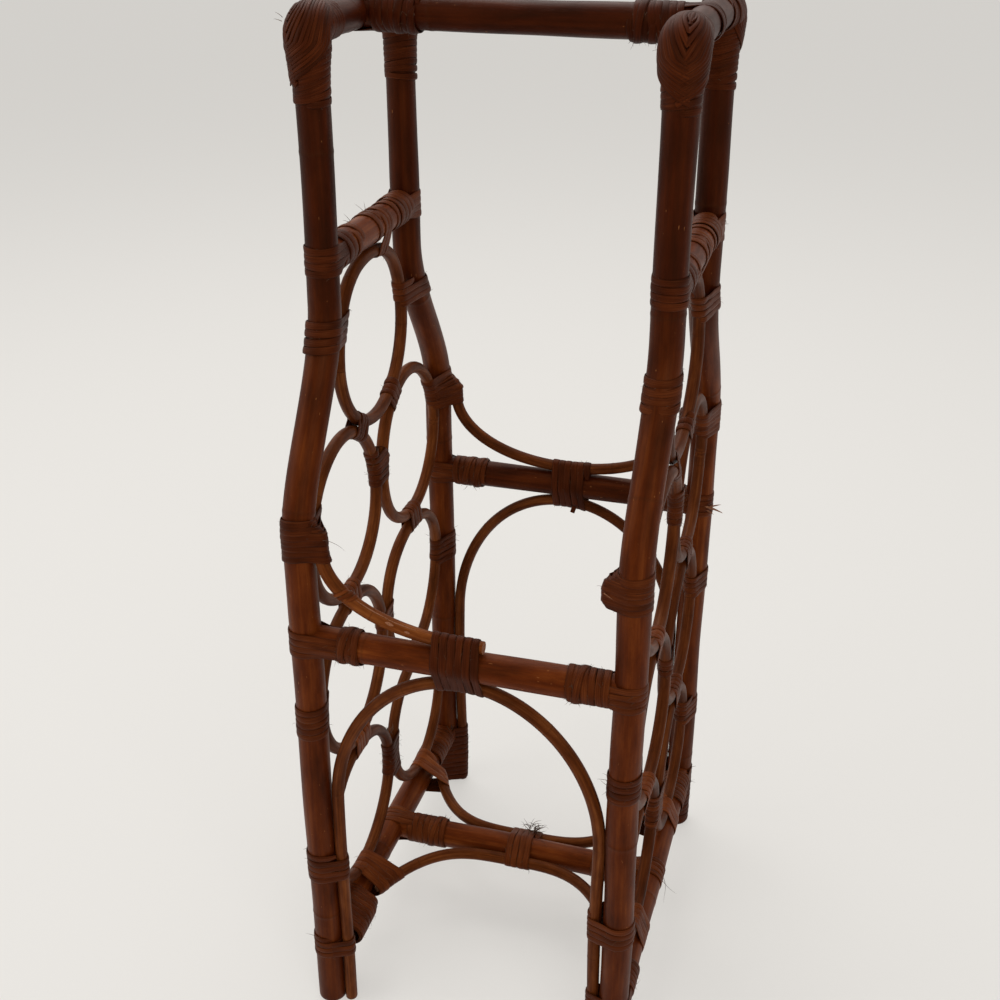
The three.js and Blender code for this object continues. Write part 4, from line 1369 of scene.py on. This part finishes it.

# Scars on the front hanging cane, and two long narrow pale streaks along its top that are a painted
# highlight: (distance along it, angle round it, length, width in radians)
SMILE_SCARS_AND_PAINTED_HIGHLIGHT = [
    # The first and third entries are the painted highlight; the second and fourth are bare scars.
    (62 * MM, 4.3, 26 * MM, 0.22),
    (77 * MM, 3.7, 6 * MM, 0.5),
    (84 * MM, 4.2, 22 * MM, 0.18),
    (90 * MM, 3.5, 4 * MM, 0.35),
]
SCAR_ROWS = 8
SCAR_COLUMNS = 7
SCAR_HEIGHT = 0.25 * MM


def make_smile_wrap():
    """Two turns of peel that hang on the broken front cane, the bared scars further down it, and two long
    pale streaks along its top that are a painted highlight.
    """
    line, radius = rods["front_hanging_cane"]
    binding = Binding("front_smile_wrap")
    origin, axis = line.at(WRAP_AT), line.heading(WRAP_AT)
    u, v = tilted(axis, Y)
    places = winding(
        origin, u, v, lambda h: [(Vector((0, 0)), radius)], WRAP_TURNS,
        lambda turn: WRAP_PITCH * (turn - 1.1) + WRAP_SLANT * math.cos(math.tau * turn), start=1.0,
    )
    fray(binding, lay_strip(binding, places, WRAP_W), WRAP_W, 14)
    binding.finish(tone=0.9)
    # Bare scars, and the painted highlight drawn as two long pale streaks in the same cut cane colour.
    scars = new_stock()
    for at, angle, length, width in SMILE_SCARS_AND_PAINTED_HIGHLIGHT:
        span = spaced(-length / 2, length / 2, SCAR_ROWS)

        def seat(row, column):
            s = at + span[row]
            ahead = line.heading(s)
            side = (Y - ahead * Y.dot(ahead)).normalized()
            lift = side.cross(ahead)
            share = math.sin(math.pi * row / SCAR_ROWS)
            across = column / (SCAR_COLUMNS - 1)
            turn = angle + (across - 0.5) * width * (0.25 + 0.75 * share)
            height = radius * 1.02 + SCAR_HEIGHT * share * math.sin(math.pi * across)
            place = line.at(s) + (side * math.cos(turn) + lift * math.sin(turn)) * height
            return place, Vector((turn, height, s)), 0.0

        roll_up(scars, SCAR_ROWS, SCAR_COLUMNS, seat)
    make_piece("front_smile_scars_and_painted_highlight", scars, [CUT_END])


# Floor and light

FLOOR_COLOUR = "#e6e3de"
FLOOR_SIZE = 30
FLOOR_GLOW = 0.6              # share of its plain colour in what shows. The rest is lit, with shadow.
SOFT_LIGHT = 0.55
LAMPS = (
    # (name, place, aim, size, power)
    ("overhead", (-0.5, 0.9, 2.2), (0, 0, 0.4), 1.6, 26),
    ("front_fill", (1.3, -1.9, 1.5), (0, 0, 0.35), 1.4, 18),
    ("left_fill", (-1.8, -1.0, 1.2), (0, 0, 0.35), 1.2, 10),
)


def seen_rays(shaded):
    """1 for rays that show something: to the camera, in a reflection or through glass."""
    path = add(shaded, "ShaderNodeLightPath")
    mirrored = add(shaded, "ShaderNodeMath", {
        0: path.outputs["Is Glossy Ray"],
        1: path.outputs["Is Transmission Ray"],
    }, operation="MAXIMUM")
    return add(shaded, "ShaderNodeMath", {
        0: path.outputs["Is Camera Ray"],
        1: mirrored.outputs["Value"],
    }, operation="MAXIMUM").outputs["Value"]


def make_stage():
    bm = bmesh.new()
    bmesh.ops.create_grid(bm, x_segments=1, y_segments=1, size=FLOOR_SIZE)
    floor = in_scene("floor", as_mesh("floor", bm))
    material = new_material("pale_floor")
    shader = add(material, "ShaderNodeBsdfPrincipled", {
        "Base Color": linear(FLOOR_COLOUR),
        "Roughness": 0.9,
        "Specular IOR Level": 0.0,
    })
    glow = add(material, "ShaderNodeEmission", {"Color": linear(FLOOR_COLOUR)})
    share = add(material, "ShaderNodeMath", {0: seen_rays(material), 1: FLOOR_GLOW}, operation="MULTIPLY")
    mix = add(material, "ShaderNodeMixShader", {
        "Fac": share.outputs["Value"],
        1: shader.outputs["BSDF"],
        2: glow.outputs["Emission"],
    })
    add(material, "ShaderNodeOutputMaterial", {"Surface": mix.outputs["Shader"]})
    floor.data.materials.append(material)

    world = bpy.data.worlds.new("studio")
    world.use_nodes = True
    world.node_tree.nodes.clear()
    soft = add(world, "ShaderNodeBackground", {"Color": linear("#ffffff"), "Strength": SOFT_LIGHT})
    backdrop = add(world, "ShaderNodeBackground", {"Color": linear(FLOOR_COLOUR)})
    mix = add(world, "ShaderNodeMixShader", {
        "Fac": seen_rays(world),
        1: soft.outputs["Background"],
        2: backdrop.outputs["Background"],
    })
    add(world, "ShaderNodeOutputWorld", {"Surface": mix.outputs["Shader"]})
    bpy.context.scene.world = world

    for name, place, aim, size, power in LAMPS:
        lamp = in_scene(name, bpy.data.lights.new(name, "AREA"))
        lamp.data.size = size
        lamp.data.energy = power
        lamp.location = place
        lamp.rotation_euler = (Vector(aim) - Vector(place)).to_track_quat("-Z", "Y").to_euler()


make_poles()
make_rings()
make_canes()
for corner, (sx, sy) in CORNERS.items():
    make_corner_cap(corner, sx, sy)
make_joints()
make_rail_bindings()
make_ring_ties()
make_post_ties()
make_smile_wrap()
make_stage()

bpy.context.scene.view_settings.view_transform = "Standard"
